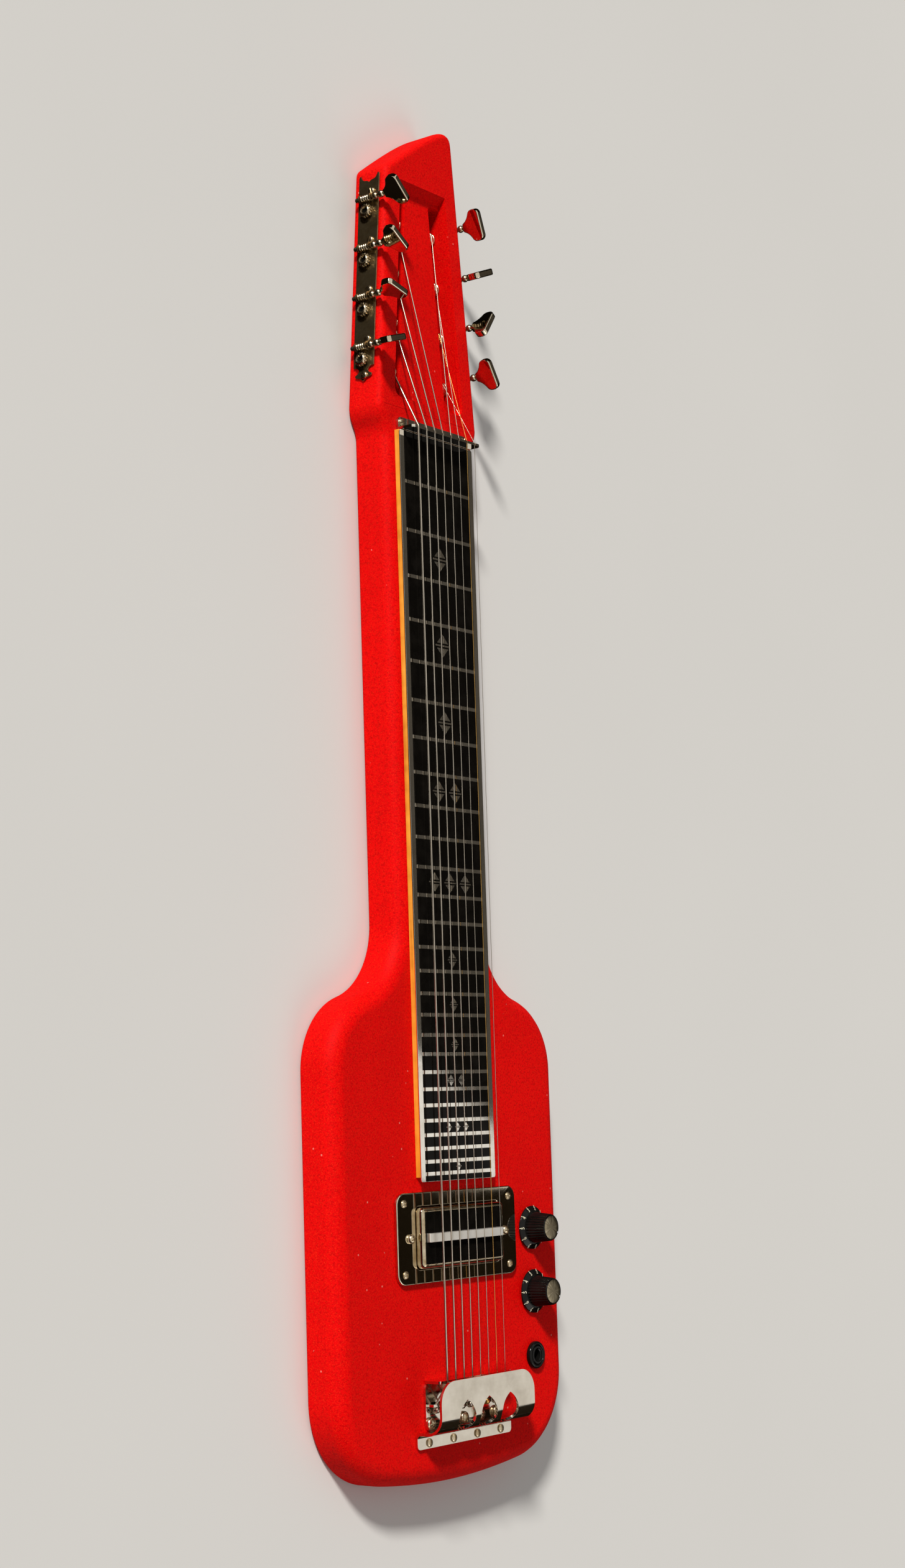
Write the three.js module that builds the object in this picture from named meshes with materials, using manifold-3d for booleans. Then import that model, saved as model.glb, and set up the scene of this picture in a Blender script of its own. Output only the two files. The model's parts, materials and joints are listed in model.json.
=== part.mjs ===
// Lap steel guitar with eight strings, lying on its back.
// Units are millimetres. +Z points up out of the face, +Y runs from the tail to the tip of the head,
// +X is the treble side. The origin is on the flat back, at the middle of the length and width.

import * as THREE from 'three';
import { mergeVertices } from 'three/addons/utils/BufferGeometryUtils.js';
import Module from 'manifold-3d';

const wasm = await Module();
wasm.setup();

// General values

const right_angle = Math.PI / 2;
const full_turn = Math.PI * 2;
const glue_gap = 0.1;
const fit_gap = 0.3;
const overrun = 1;
const weld_distance = 0.0001;

// Lengths along the instrument

const tail_to_saddle = 60.5;
const scale_length = 571.5;
const recess_to_tip = 41.75;

// Body, neck and head

const body_thickness = 25.4;
const body_half_width = 111.4;
const body_edge_radius = 11;
const back_edge_radius = 2.5;
const tail_bow_radius = 500;
const tail_corner_radius = 52;
const saddle_to_shoulder = 181;
const shoulder_length = 89;
const board_to_neck_side = 7.3;
const neck_edge_radius = 8;
const edge_blend_length = 60;
const nut_to_step = -5;
const step_length = 20;
const head_step_width = 5.9;
const head_taper = 17.2;
const head_edge_radius = 4.5;
const tip_corner_radius = 8;
const tip_crest_inset = 7;
const tip_bend_inset = 18;
const tip_bend_drop = 0.5;
const tip_left_drop = 38.5;
const tip_left_corner = 3;
const edge_steps = 3;
const back_edge_steps = 1;
const tail_bow_steps = 5;
const tail_corner_steps = 9;
const shoulder_steps = 7;
const tip_bow_steps = 8;
const corner_steps = 4;
const coarse_steps = 3;
const plain_steps = 2;

// Recess and string slots of the head

const rail_width = 14.4;
const slot_width = 11.6;
const recess_depth = 5.5;
const nut_to_recess = 22;
const last_post_to_recess_end = 15.5;
const recess_ramp_length = 10;
const recess_corner_radius = 6;
const slot_end_margin = 2.5;
const slot_corner_radius = 3;

// Fingerboard

const riser_thickness = 3.4;
const riser_side_inset = 0.4;
const riser_end_inset = 2.7;
const board_thickness = 0.8;
const string_to_board_side = 8.125;
const board_to_ring = 5.7;
const board_corner = 1.5;

// Strings, from the bass side to the treble side

const string_diameters = [1.3, 1.07, 0.91, 0.76, 0.61, 0.46, 0.38, 0.33];
const string_count = string_diameters.length;
const string_pitch = 8.25;
const string_height = 8.3;
const string_sides = 5;
const bend_offset = 0.2;
const wrap_turns = 2.3;
const wrap_steps_per_turn = 10;
const wrap_gap = 0.8;
const ball_diameter = 3.8;
const ball_length = 3.2;

// Nut

const string_to_nut_end = 6.125;
const nut_thickness = 1.6;
const nut_crown = 0.5;
const nut_foot_length = 8.5;
const nut_corner_radius = 3;
const nut_screw_inset = 3.5;
const notch_side_gap = 0.25;

// Screws

const small_screw = { head: 5, dome: 1.4, shank: 2.4, length: 8 };
const flange_screw = { head: 5.2, dome: 1.3, shank: 3.2, length: 13 };
const base_screw = { head: 7.4, dome: 3, shank: 3.2, length: 13 };
const height_screw = { head: 5.6, dome: 2.8, shank: 2.6, length: 20 };
const screw_slot_width = 1;
const screw_slot_depth = 0.9;
const screw_sides = 8;
const screw_rim_share = 1 / 3;
const screw_tip_share = 0.5;

// Pickup

const saddle_to_pickup = 83.2;
const height_screw_to_ring_end = 12.2;
const cover_to_ring_side = 9;
const ring_thickness = 2.3;
const ring_corner_radius = 7;
const ring_edge = 0.8;
const low_edge_share = 0.5;
const blade_to_cover_end = 4.2;
const cover_half_width = 17.7;
const cover_height = 21;
const cover_wall = 0.9;
const cover_edge_radius = 2.4;
const cover_corner_radius = 3;
const cover_above_ring = 4.6;
const string_to_blade_end = 7.725;
const blade_thickness = 5.2;
const blade_above_cover = 2.2;
const base_to_blade = 3.3;
const coil_height = 14;
const coil_rest_half_width = 4.5;
const pickup_base_thickness = 1.2;
const pickup_ear_half_width = 6;
const pickup_ear_overhang = 4;
const cover_to_height_screw = 6;
const pickup_pocket_gap = 1;
const pickup_pocket_depth = 21.2;

// Bridge

const base_to_cover_end = 10.6;
const cover_plate_x = 1.8;
const bridge_metal = 1.6;
const flange_length = 9.1;
const flange_bend_radius = 3;
const cover_rise = 20.1;
const cover_bend_radius = 10;
const cover_front_y_gap = 1.2;
const cover_front_radius = 13;
const flange_corner_radius = 2.5;
const flange_screw_end = 11;
const flange_screw_inset = 3.2;
const flange_screw_count = 4;
const bend_steps = 5;
const foot_bend_steps = 3;
const drop_pitch = 21.3;
const drop_shift = 2;
const drop_count = 3;
const drop_radius = 8.2;
const drop_length = 16.5;
const drop_tip_setback = 10.7;
const drop_fullness_share = 0.37;
const drop_steps = 8;
const string_to_base_end = 6.925;
const base_length = 28.4;
const base_crown = 0.4;
const base_corner_radius = 4.5;
const wall_corner_radius = 2.3;
const lip_height = 4.5;
const lip_seat = 2.4;
const base_screw_end = 3.4;
const base_screw_count = 5;
const base_screw_inset = 4.4;
const base_screw_to_ball = 1.8;

// Controls and jack

const ring_to_knob = 5.1;
const saddle_to_first_knob = 83;
const control_pitch = 39;
const control_count = 2;
const top_wall = 3.6;
const knob_height = 15.8;
const knob_clearance = 1;
const skirt_radius = 13.3;
const skirt_height = 2.6;
const skirt_rim = 0.9;
const barrel_foot = 0.9;
const barrel_base_radius = 9.6;
const barrel_top_radius = 8.2;
const cap_radius = 7.2;
const cap_height = 0.8;
const flute_depth = 0.45;
const flute_count = 16;
const shaft_radius = 3;
const shaft_bore_depth = 11;
const bushing_radius = 4.7;
const bushing_rise = 2.2;
const pot_radius = 12;
const pot_height = 9;
const pot_floor = 1.2;
const jack_nut_radius = 8.4;
const jack_nut_height = 3;
const jack_nut_chamfer = 0.75;
const jack_bushing_radius = 5.6;
const jack_bore_radius = 3.3;
const jack_body_radius = 9.5;
const jack_body_length = 15;
const jack_floor = 1.5;
const control_cavity_margin = 3.5;
const back_cover_thickness = 1.6;
const back_cover_lap = 4;
const cavity_corner_radius = 8;
const wire_channel_radius = 3;
const round_sides = 20;
const bore_sides = 12;

// Tuning machines

const tuner_pitch = 32.4;
const nut_to_first_post = 43.3;
const tuners_per_side = 4;
const treble_tuner_drop = 2;
const plate_width = 15.8;
const plate_thickness = 1;
const last_post_to_plate_tip = 25.1;
const first_post_to_plate_end = 13.6;
const plate_horn = 3;
const plate_neck_half_width = 4.2;
const plate_neck_length = 6;
const gear_radius = 4.5;
const gear_root_radius = 3.7;
const gear_teeth = 14;
const gear_width = 3;
const worm_root_radius = 1.7;
const worm_radius = 2.4;
const gear_to_worm_gap = 1.1;
const worm_length = 6.6;
const worm_threads = 3;
const worm_journal_radius = 1.3;
const lug_thickness = 1;
const lug_half_width = 2.6;
const end_knob_radius = 1.6;
const collar_neck_length = 0.3;
const collar_radius = 2.3;
const collar_spacing = 4.8;
const worm_sides = 8;
const button_gap = 0.6;
const button_height = 13.9;
const button_half_width = 10.2;
const button_thickness = 4.2;
const button_neck_half_width = 2.4;
const button_corner_radius = 2.7;
const button_edge_radius = 1.3;
const button_flare = 0.9;
const button_flare_height = 2.3;
const button_shoulder_height = 6.95;
const post_radius = 3.1;
const roller_radius = 4.5;
const post_end_length = 5;
const post_sides = 10;
const left_button_degrees = [18, 167, 148, 139];
const right_button_degrees = [123, 55, 22, 111];

// Widths worked out from the string spacing

const string_half_spread = ((string_count - 1) * string_pitch) / 2;
const nut_half_width = string_half_spread + string_to_nut_end;
const nut_screw_x = nut_half_width - nut_screw_inset;
const board_half_width = string_half_spread + string_to_board_side;
const riser_half_width = board_half_width - riser_side_inset;
const neck_half_width = board_half_width + board_to_neck_side;
const head_root_half_width = neck_half_width + head_step_width;
const head_tip_half_width = head_root_half_width - head_taper;
const tip_crest_x = head_tip_half_width - tip_crest_inset;
const tip_bend_x = head_tip_half_width - tip_bend_inset;
const blade_half_length = string_half_spread + string_to_blade_end;
const cover_half_length = blade_half_length + blade_to_cover_end;
const height_screw_x = cover_half_length + cover_to_height_screw;
const ring_half_length = height_screw_x + height_screw_to_ring_end;
const ring_half_width = cover_half_width + cover_to_ring_side;
const control_x = ring_half_length + ring_to_knob + skirt_radius;
const base_half_width = string_half_spread + string_to_base_end;
const base_screw_pitch = (2 * (base_half_width - base_screw_end)) / (base_screw_count - 1);
const cover_plate_half_width = base_half_width + base_to_cover_end;
const flange_screw_span = 2 * (cover_plate_half_width - flange_screw_end);
const flange_screw_pitch = flange_screw_span / (flange_screw_count - 1);

// Places along the instrument

const post_row_length = (tuners_per_side - 1) * tuner_pitch;
const plate_length = first_post_to_plate_end + post_row_length + last_post_to_plate_tip;
const nut_to_recess_end = nut_to_first_post + post_row_length + last_post_to_recess_end;
const recess_length = nut_to_recess_end - nut_to_recess;
const nut_to_tip = nut_to_recess_end + recess_ramp_length + recess_to_tip;
const total_length = tail_to_saddle + scale_length + nut_to_tip;
const tail_y = -total_length / 2;
const saddle_y = tail_y + tail_to_saddle;
const nut_y = saddle_y + scale_length;
const tip_y = nut_y + nut_to_tip;
const pickup_y = saddle_y + saddle_to_pickup;
const board_length = scale_length - fit_gap - board_to_ring - ring_half_width - saddle_to_pickup;
const first_knob_y = saddle_y + saddle_to_first_knob;
const jack_y = first_knob_y - control_pitch * control_count;
const base_rear_y = saddle_y - base_length;
const base_screw_y = base_rear_y + base_screw_inset;
const ball_y = base_screw_y + base_screw.head / 2 + base_screw_to_ball + ball_diameter / 2;
const lip_y = ball_y + ball_diameter / 2 + fit_gap + bridge_metal / 2;
const wall_bulge = Math.sqrt(2 * flange_bend_radius * bridge_metal) - flange_bend_radius;
const wall_y = base_rear_y - fit_gap - wall_bulge;
const flange_y = wall_y - flange_length;

// Heights worked out from the sizes above

const board_top = body_thickness + glue_gap + riser_thickness + glue_gap + board_thickness;
const string_z = board_top + string_height;
const middle_z = body_thickness / 2;
const ring_bottom = body_thickness + glue_gap;
const ring_top = ring_bottom + ring_thickness;
const cover_top = ring_top + cover_above_ring;

// Helpers for solids

function solidOf(geometry) {
  const bare = geometry.clone();
  bare.deleteAttribute('normal');
  bare.deleteAttribute('uv');
  const merged = mergeVertices(bare, weld_distance);
  const corners = merged.index.array;
  const kept = [];
  for (let i = 0; i < corners.length; i += 3) {
    const [a, b, c] = [corners[i], corners[i + 1], corners[i + 2]];
    if (a !== b && b !== c && a !== c) {
      kept.push(a, b, c);
    }
  }
  const mesh = new wasm.Mesh({
    numProp: 3,
    vertProperties: new Float32Array(merged.attributes.position.array),
    triVerts: new Uint32Array(kept),
  });
  return new wasm.Manifold(mesh);
}

function geometryOf(solid) {
  const mesh = solid.getMesh();
  const geometry = new THREE.BufferGeometry();
  geometry.setAttribute('position', new THREE.BufferAttribute(new Float32Array(mesh.vertProperties), 3));
  geometry.setIndex(new THREE.BufferAttribute(new Uint32Array(mesh.triVerts), 1));
  geometry.computeVertexNormals();
  return geometry;
}

function joined(first, ...others) {
  let solid = solidOf(first);
  for (const other of others) {
    solid = solid.add(solidOf(other));
  }
  return geometryOf(solid);
}

function cut(blank, ...tools) {
  let solid = solidOf(blank);
  for (const tool of tools) {
    solid = solid.subtract(solidOf(tool));
  }
  return geometryOf(solid);
}

function common(first, second) {
  return geometryOf(solidOf(first).intersect(solidOf(second)));
}

// Helpers for shapes

function point(x, y) {
  return new THREE.Vector2(x, y);
}

function arc(centre, radius, from, to, steps) {
  const points = [];
  for (let i = 0; i <= steps; i += 1) {
    const angle = from + ((to - from) * i) / steps;
    points.push(point(centre.x + radius * Math.cos(angle), centre.y + radius * Math.sin(angle)));
  }
  return points;
}

function slab(points, bottom, top) {
  const settings = { depth: top - bottom, bevelEnabled: false };
  return new THREE.ExtrudeGeometry(new THREE.Shape(points), settings).translate(0, 0, bottom);
}

function rectangle(half_x, half_y, radius, steps = corner_steps) {
  const points = [];
  const corners = [[1, -1], [1, 1], [-1, 1], [-1, -1]];
  corners.forEach(([sx, sy], k) => {
    const centre = point(sx * (half_x - radius), sy * (half_y - radius));
    points.push(...arc(centre, radius, right_angle * (k - 1), right_angle * k, steps));
  });
  return points;
}

function moved(points, x, y) {
  return points.map((p) => point(p.x + x, p.y + y));
}

// An upright round rod, from bottom to top
function rod(radius, bottom, top, sides = round_sides) {
  const geometry = new THREE.CylinderGeometry(radius, radius, top - bottom, sides);
  return geometry.rotateX(right_angle).translate(0, 0, (top + bottom) / 2);
}

// A turned piece about Z: the profile lists radius and height, and starts and ends on the axis
function turned(profile, sides = round_sides) {
  const points = profile.map(([radius, height]) => point(radius, height));
  return geometryOf(solidOf(new THREE.LatheGeometry(points, sides).rotateX(right_angle)));
}

function block(half_x, half_y, bottom, top) {
  const geometry = new THREE.BoxGeometry(half_x * 2, half_y * 2, top - bottom);
  return geometry.translate(0, 0, (top + bottom) / 2);
}

// A slab with rounded upper and lower edges, whose edge radius may change along its outline
function roundedSlab(outline, radiusAt, thickness, steps, low_radius, low_steps) {
  const count = outline.length;
  const inward = outline.map((p, i) => {
    const before = outline[(i + count - 1) % count];
    const after = outline[(i + 1) % count];
    const first = p.clone().sub(before).normalize();
    const second = after.clone().sub(p).normalize();
    const along = first.add(second).normalize();
    return point(-along.y, along.x);
  });
  const ringAt = (turn, radiusOf, zOf) => {
    const inset = 1 - Math.cos(turn);
    const rise = 1 - Math.sin(turn);
    return outline.map((p, i) => {
      const radius = radiusOf(p);
      const shift = inset * radius;
      return new THREE.Vector3(p.x + inward[i].x * shift, p.y + inward[i].y * shift, zOf(rise * radius));
    });
  };
  const rings = [];
  for (let level = low_steps; level >= 0; level -= 1) {
    rings.push(ringAt((right_angle * level) / low_steps, () => low_radius, (rise) => rise));
  }
  for (let level = 0; level <= steps; level += 1) {
    rings.push(ringAt((right_angle * level) / steps, radiusAt, (rise) => thickness - rise));
  }
  const positions = rings.flat().flatMap((p) => [p.x, p.y, p.z]);
  const index = [];
  for (let level = 0; level < rings.length - 1; level += 1) {
    for (let i = 0; i < count; i += 1) {
      const a = level * count + i;
      const b = level * count + ((i + 1) % count);
      index.push(a, b, b + count, a, b + count, a + count);
    }
  }
  const last = (rings.length - 1) * count;
  const faces = THREE.ShapeUtils.triangulateShape(rings[0].map((p) => point(p.x, p.y)), []);
  for (const [a, b, c] of faces) {
    index.push(c, b, a);
    index.push(last + a, last + b, last + c);
  }
  const geometry = new THREE.BufferGeometry();
  geometry.setAttribute('position', new THREE.Float32BufferAttribute(positions, 3));
  geometry.setIndex(index);
  return geometry;
}

// A path that runs straight from point to point
class Route extends THREE.Curve {
  constructor(points) {
    super();
    this.points = points;
  }

  getPoint(share, target = new THREE.Vector3()) {
    const place = share * (this.points.length - 1);
    const start = Math.min(Math.floor(place), this.points.length - 2);
    return target.lerpVectors(this.points[start], this.points[start + 1], place - start);
  }

  getUtoTmapping(share) {
    return share;
  }
}

function wire(points, radius) {
  const section = new THREE.Shape(arc(point(0, 0), radius, 0, full_turn, string_sides).slice(0, -1));
  const settings = { steps: points.length - 1, extrudePath: new Route(points) };
  return new THREE.ExtrudeGeometry(section, settings);
}

// Materials

function material(color, roughness, metalness) {
  return new THREE.MeshStandardMaterial({ color, roughness, metalness });
}

const materials = {
  red_paint: material(0xd0120c, 0.55, 0),
  amber_wood: material(0xc98a2a, 0.35, 0),
  black_board: material(0x0d0b09, 0.08, 0.2),
  chrome: material(0xcfc9bd, 0.08, 1),
  nickel: material(0xb9a98c, 0.25, 1),
  steel: material(0xc8c2b6, 0.3, 1),
  gold_steel: material(0xc9a25a, 0.3, 1),
  black_plastic: material(0x0b0a0a, 0.25, 0),
  copper_coil: material(0x6b2c14, 0.5, 0.2),
  zinc: material(0x8f8f8c, 0.45, 1),
};

const group = new THREE.Group();

function add(name, geometry, finish, x = 0, y = 0, z = 0) {
  const mesh = new THREE.Mesh(geometry, materials[finish]);
  mesh.name = name;
  mesh.position.set(x, y, z);
  group.add(mesh);
  return mesh;
}

// Outline of the body, neck and head

const step_start_y = nut_y + nut_to_step;
const step_end_y = step_start_y + step_length;
const side_slope = (head_root_half_width - head_tip_half_width) / (tip_y - step_end_y);
const side_angle = Math.atan(side_slope);

function headHalfWidth(y) {
  return head_root_half_width - (y - step_end_y) * side_slope;
}

// Two equal arcs that lead from one straight side to another further in
function doubleBend(x_start, y_start, x_end, y_end, steps) {
  const run = y_end - y_start;
  const shift = Math.abs(x_start - x_end);
  const radius = (run * run + shift * shift) / (4 * shift);
  const angle = 2 * Math.atan(shift / run);
  if (x_end < x_start) {
    return [
      ...arc(point(x_start - radius, y_start), radius, 0, angle, steps),
      ...arc(point(x_end + radius, y_end), radius, Math.PI + angle, Math.PI, steps).slice(1),
    ];
  }
  return [
    ...arc(point(x_start + radius, y_start), radius, Math.PI, Math.PI - angle, steps),
    ...arc(point(x_end - radius, y_end), radius, -angle, 0, steps).slice(1),
  ];
}

function rightSide() {
  const corner_x = body_half_width - tail_corner_radius;
  const bow_y = tail_y + tail_bow_radius;
  const reach = tail_bow_radius - tail_corner_radius;
  const corner_y = bow_y - Math.sqrt(reach * reach - corner_x * corner_x);
  const turn = Math.atan2(corner_y - bow_y, corner_x);
  const shoulder_y = saddle_y + saddle_to_shoulder;
  const neck_y = shoulder_y + shoulder_length;
  const points = [
    ...arc(point(0, bow_y), tail_bow_radius, -right_angle, turn, tail_bow_steps),
    ...arc(point(corner_x, corner_y), tail_corner_radius, turn, 0, tail_corner_steps).slice(1),
    ...doubleBend(body_half_width, shoulder_y, neck_half_width, neck_y, shoulder_steps),
    point(neck_half_width, neck_y + edge_blend_length / 2),
    point(neck_half_width, neck_y + edge_blend_length),
    ...doubleBend(neck_half_width, step_start_y, head_root_half_width, step_end_y, coarse_steps),
  ];
  return points;
}

// The end of the head slopes down from the treble side to the bass side in one long bow
function headEnd() {
  const right_y = tip_y - tip_corner_radius;
  const crest = point(tip_crest_x, tip_y);
  const corner_y = tip_y - tip_left_drop;
  const corner = point(-headHalfWidth(corner_y), corner_y);
  const bend = point(tip_bend_x, tip_y - tip_bend_drop);
  const slope = corner.clone().sub(bend).normalize();
  const bow_end = corner.clone().addScaledVector(slope, -tip_left_corner);
  const left_y = corner_y - tip_left_corner;
  const right_corner = new THREE.QuadraticBezierCurve(
    point(headHalfWidth(right_y), right_y),
    point(headHalfWidth(tip_y), tip_y),
    crest,
  );
  const bow = new THREE.QuadraticBezierCurve(crest, bend, bow_end);
  const left_corner = new THREE.QuadraticBezierCurve(bow_end, corner, point(-headHalfWidth(left_y), left_y));
  return [
    ...right_corner.getPoints(corner_steps),
    ...bow.getPoints(tip_bow_steps).slice(1),
    ...left_corner.getPoints(corner_steps).slice(1),
  ];
}

function bodyOutline() {
  const right = rightSide();
  const left = right.slice(1).reverse().map((p) => point(-p.x, p.y));
  return [...right, ...headEnd(), ...left];
}

function blend(from, to, place) {
  const share = THREE.MathUtils.smoothstep(place, 0, 1);
  return from + (to - from) * share;
}

function edgeRadius(p) {
  const neck_y = saddle_y + saddle_to_shoulder + shoulder_length;
  if (p.y < step_start_y) {
    return blend(body_edge_radius, neck_edge_radius, (p.y - neck_y) / edge_blend_length);
  }
  return blend(neck_edge_radius, head_edge_radius, (p.y - step_start_y) / step_length);
}

// Cuts in the head

function recessTool() {
  const start_y = nut_y + nut_to_recess;
  const end_y = start_y + recess_length;
  const floor_z = body_thickness - recess_depth;
  const outline = (far_y) => {
    const half = (y) => headHalfWidth(y) - rail_width;
    const centre_y = start_y + recess_corner_radius;
    const corner_x = half(centre_y) - recess_corner_radius;
    return [
      ...arc(point(corner_x, centre_y), recess_corner_radius, -right_angle, 0, corner_steps),
      point(half(far_y), far_y),
      point(-half(far_y), far_y),
      ...arc(point(-corner_x, centre_y), recess_corner_radius, Math.PI, right_angle * 3, corner_steps),
    ];
  };
  const low = outline(end_y);
  const high = outline(end_y + recess_ramp_length * (1 + overrun / recess_depth));
  const count = low.length;
  const positions = [];
  for (const p of low) {
    positions.push(p.x, p.y, floor_z);
  }
  for (const p of high) {
    positions.push(p.x, p.y, body_thickness + overrun);
  }
  const index = [];
  for (let i = 0; i < count; i += 1) {
    const next = (i + 1) % count;
    index.push(i, next, next + count, i, next + count, i + count);
  }
  for (const [a, b, c] of THREE.ShapeUtils.triangulateShape(low, [])) {
    index.push(c, b, a);
    index.push(a + count, b + count, c + count);
  }
  const geometry = new THREE.BufferGeometry();
  geometry.setAttribute('position', new THREE.Float32BufferAttribute(positions, 3));
  geometry.setIndex(index);
  return geometry;
}

function slotTool(side) {
  const start_y = nut_y + nut_to_recess + slot_end_margin;
  const end_y = nut_y + nut_to_recess_end - slot_end_margin;
  const outer = (y) => headHalfWidth(y) - rail_width;
  const inner = (y) => outer(y) - slot_width;
  const low_y = start_y + slot_corner_radius;
  const high_y = end_y - slot_corner_radius;
  const near = (y) => inner(y) + slot_corner_radius;
  const far = (y) => outer(y) - slot_corner_radius;
  const corner = (x, y, quarter) => {
    const start = right_angle * quarter;
    return arc(point(x, y), slot_corner_radius, start, start + right_angle, coarse_steps);
  };
  const points = [
    ...corner(near(low_y), low_y, 2),
    ...corner(far(low_y), low_y, 3),
    ...corner(far(high_y), high_y, 0),
    ...corner(near(high_y), high_y, 1),
  ];
  const placed = side > 0 ? points : points.map((p) => point(-p.x, p.y)).reverse();
  return slab(placed, -overrun, body_thickness - recess_depth / 2);
}

// Places on the sides of the head: a frame whose x points out of the side

function sideFrame(side, along) {
  const y = nut_y + nut_to_first_post + along * Math.cos(side_angle);
  const turn = side > 0 ? side_angle : Math.PI - side_angle;
  const frame = new THREE.Matrix4().makeRotationZ(turn);
  const z = side > 0 ? middle_z - treble_tuner_drop : middle_z;
  frame.setPosition(side * headHalfWidth(y), y, z);
  return frame;
}

function postTools() {
  const tools = [];
  const depth = rail_width + slot_width + post_end_length + fit_gap;
  for (const side of [-1, 1]) {
    for (let k = 0; k < tuners_per_side; k += 1) {
      const bore = rod(post_radius + fit_gap, -depth, overrun, post_sides).rotateY(right_angle);
      tools.push(bore.applyMatrix4(sideFrame(side, k * tuner_pitch)));
    }
  }
  return tools;
}

// Cuts for the pickup, the controls and the screws

function pocketTools() {
  const pocket_floor = body_thickness - pickup_pocket_depth;
  const half_x = cover_half_length + pickup_pocket_gap;
  const half_y = cover_half_width + pickup_pocket_gap;
  const ear_x = height_screw_x + pickup_ear_overhang + pickup_pocket_gap;
  const ear_y = pickup_ear_half_width + pickup_pocket_gap;
  const pocket = slab(rectangle(half_x, half_y, cover_corner_radius), pocket_floor, body_thickness + overrun);
  const ears = block(ear_x, ear_y, pocket_floor, body_thickness + overrun);
  const channel = rod(wire_channel_radius, 0, control_x, bore_sides).rotateY(right_angle);
  return [
    pocket.translate(0, pickup_y, 0),
    ears.translate(0, pickup_y, 0),
    channel.translate(0, pickup_y, middle_z),
  ];
}

const cavity_half_x = pot_radius + control_cavity_margin;
const cavity_top_y = first_knob_y + pot_radius + control_cavity_margin;
const cavity_low_y = jack_y - jack_body_radius - control_cavity_margin;
const cavity_half_y = (cavity_top_y - cavity_low_y) / 2;
const cavity_y = (cavity_top_y + cavity_low_y) / 2;

function controlTools() {
  const ceiling = body_thickness - top_wall;
  const cavity = rectangle(cavity_half_x, cavity_half_y, cavity_corner_radius);
  const cover_half_x = cavity_half_x + back_cover_lap;
  const cover_half_y = cavity_half_y + back_cover_lap;
  const rebate = rectangle(cover_half_x, cover_half_y, cavity_corner_radius);
  const tools = [
    slab(moved(cavity, control_x, cavity_y), -overrun, ceiling),
    slab(moved(rebate, control_x, cavity_y), -overrun, back_cover_thickness + glue_gap),
    rod(jack_bushing_radius + fit_gap, 0, body_thickness + overrun).translate(control_x, jack_y, 0),
  ];
  for (let k = 0; k < control_count; k += 1) {
    const y = first_knob_y - k * control_pitch;
    tools.push(rod(bushing_radius + fit_gap, 0, body_thickness + overrun).translate(control_x, y, 0));
  }
  return tools;
}

function pilot(screw, x, y) {
  const floor_z = body_thickness - screw.length;
  const hole = rod(screw.shank / 2 + fit_gap, floor_z, body_thickness + overrun, screw_sides);
  return hole.translate(x, y, 0);
}

function rowPlaces(count, pitch) {
  return Array.from({ length: count }, (_, k) => (k - (count - 1) / 2) * pitch);
}

function flangeScrewPlaces() {
  return rowPlaces(flange_screw_count, flange_screw_pitch).map((x) => x + cover_plate_x);
}

const flange_screw_y = flange_y + flange_screw_inset;
const nut_screw_y = nut_y + (nut_thickness + nut_foot_length) / 2;

function pilotTools() {
  return [
    ...flangeScrewPlaces().map((x) => pilot(flange_screw, x, flange_screw_y)),
    ...rowPlaces(base_screw_count, base_screw_pitch).map((x) => pilot(base_screw, x, base_screw_y)),
    ...[-nut_screw_x, nut_screw_x].map((x) => pilot(small_screw, x, nut_screw_y)),
  ];
}

function makeBody() {
  const outline = bodyOutline();
  const blank = roundedSlab(
    outline, edgeRadius, body_thickness, edge_steps, back_edge_radius, back_edge_steps,
  );
  const tools = [
    recessTool(),
    slotTool(-1),
    slotTool(1),
    ...postTools(),
    ...pocketTools(),
    ...controlTools(),
    ...pilotTools(),
  ];
  add('body', cut(blank, ...tools), 'red_paint');
}

function makeBackCover() {
  const half_x = cavity_half_x + back_cover_lap - fit_gap;
  const half_y = cavity_half_y + back_cover_lap - fit_gap;
  const plate = slab(rectangle(half_x, half_y, cavity_corner_radius), 0, back_cover_thickness);
  add('control_cavity_cover', plate, 'black_plastic', control_x, cavity_y, 0);
}

// Fingerboard

function makeFingerboard() {
  const riser_length = board_length - riser_end_inset;
  const riser = block(riser_half_width, riser_length / 2, 0, riser_thickness);
  const riser_y = nut_y - fit_gap - riser_length / 2;
  add('fingerboard_riser', riser, 'amber_wood', 0, riser_y, body_thickness + glue_gap);
  const plate_y = nut_y - fit_gap - board_length / 2;
  const outline = rectangle(board_half_width, board_length / 2, board_corner, plain_steps);
  const plate = slab(outline, 0, board_thickness);
  add('fingerboard_plate', plate, 'black_board', 0, plate_y, board_top - board_thickness);
}

function stringX(index) {
  return (index - (string_count - 1) / 2) * string_pitch;
}

// Open notches for all strings, cut down into a crest that runs along X at the height of the strings
function notchTools(y_from, y_to, seat_z) {
  return string_diameters.map((diameter, i) => {
    const low = seat_z - diameter / 2 - glue_gap;
    const half_x = diameter / 2 + notch_side_gap;
    const notch = block(half_x, (y_to - y_from) / 2 + overrun, low, seat_z + string_height);
    return notch.translate(stringX(i), (y_from + y_to) / 2, 0);
  });
}

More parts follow.
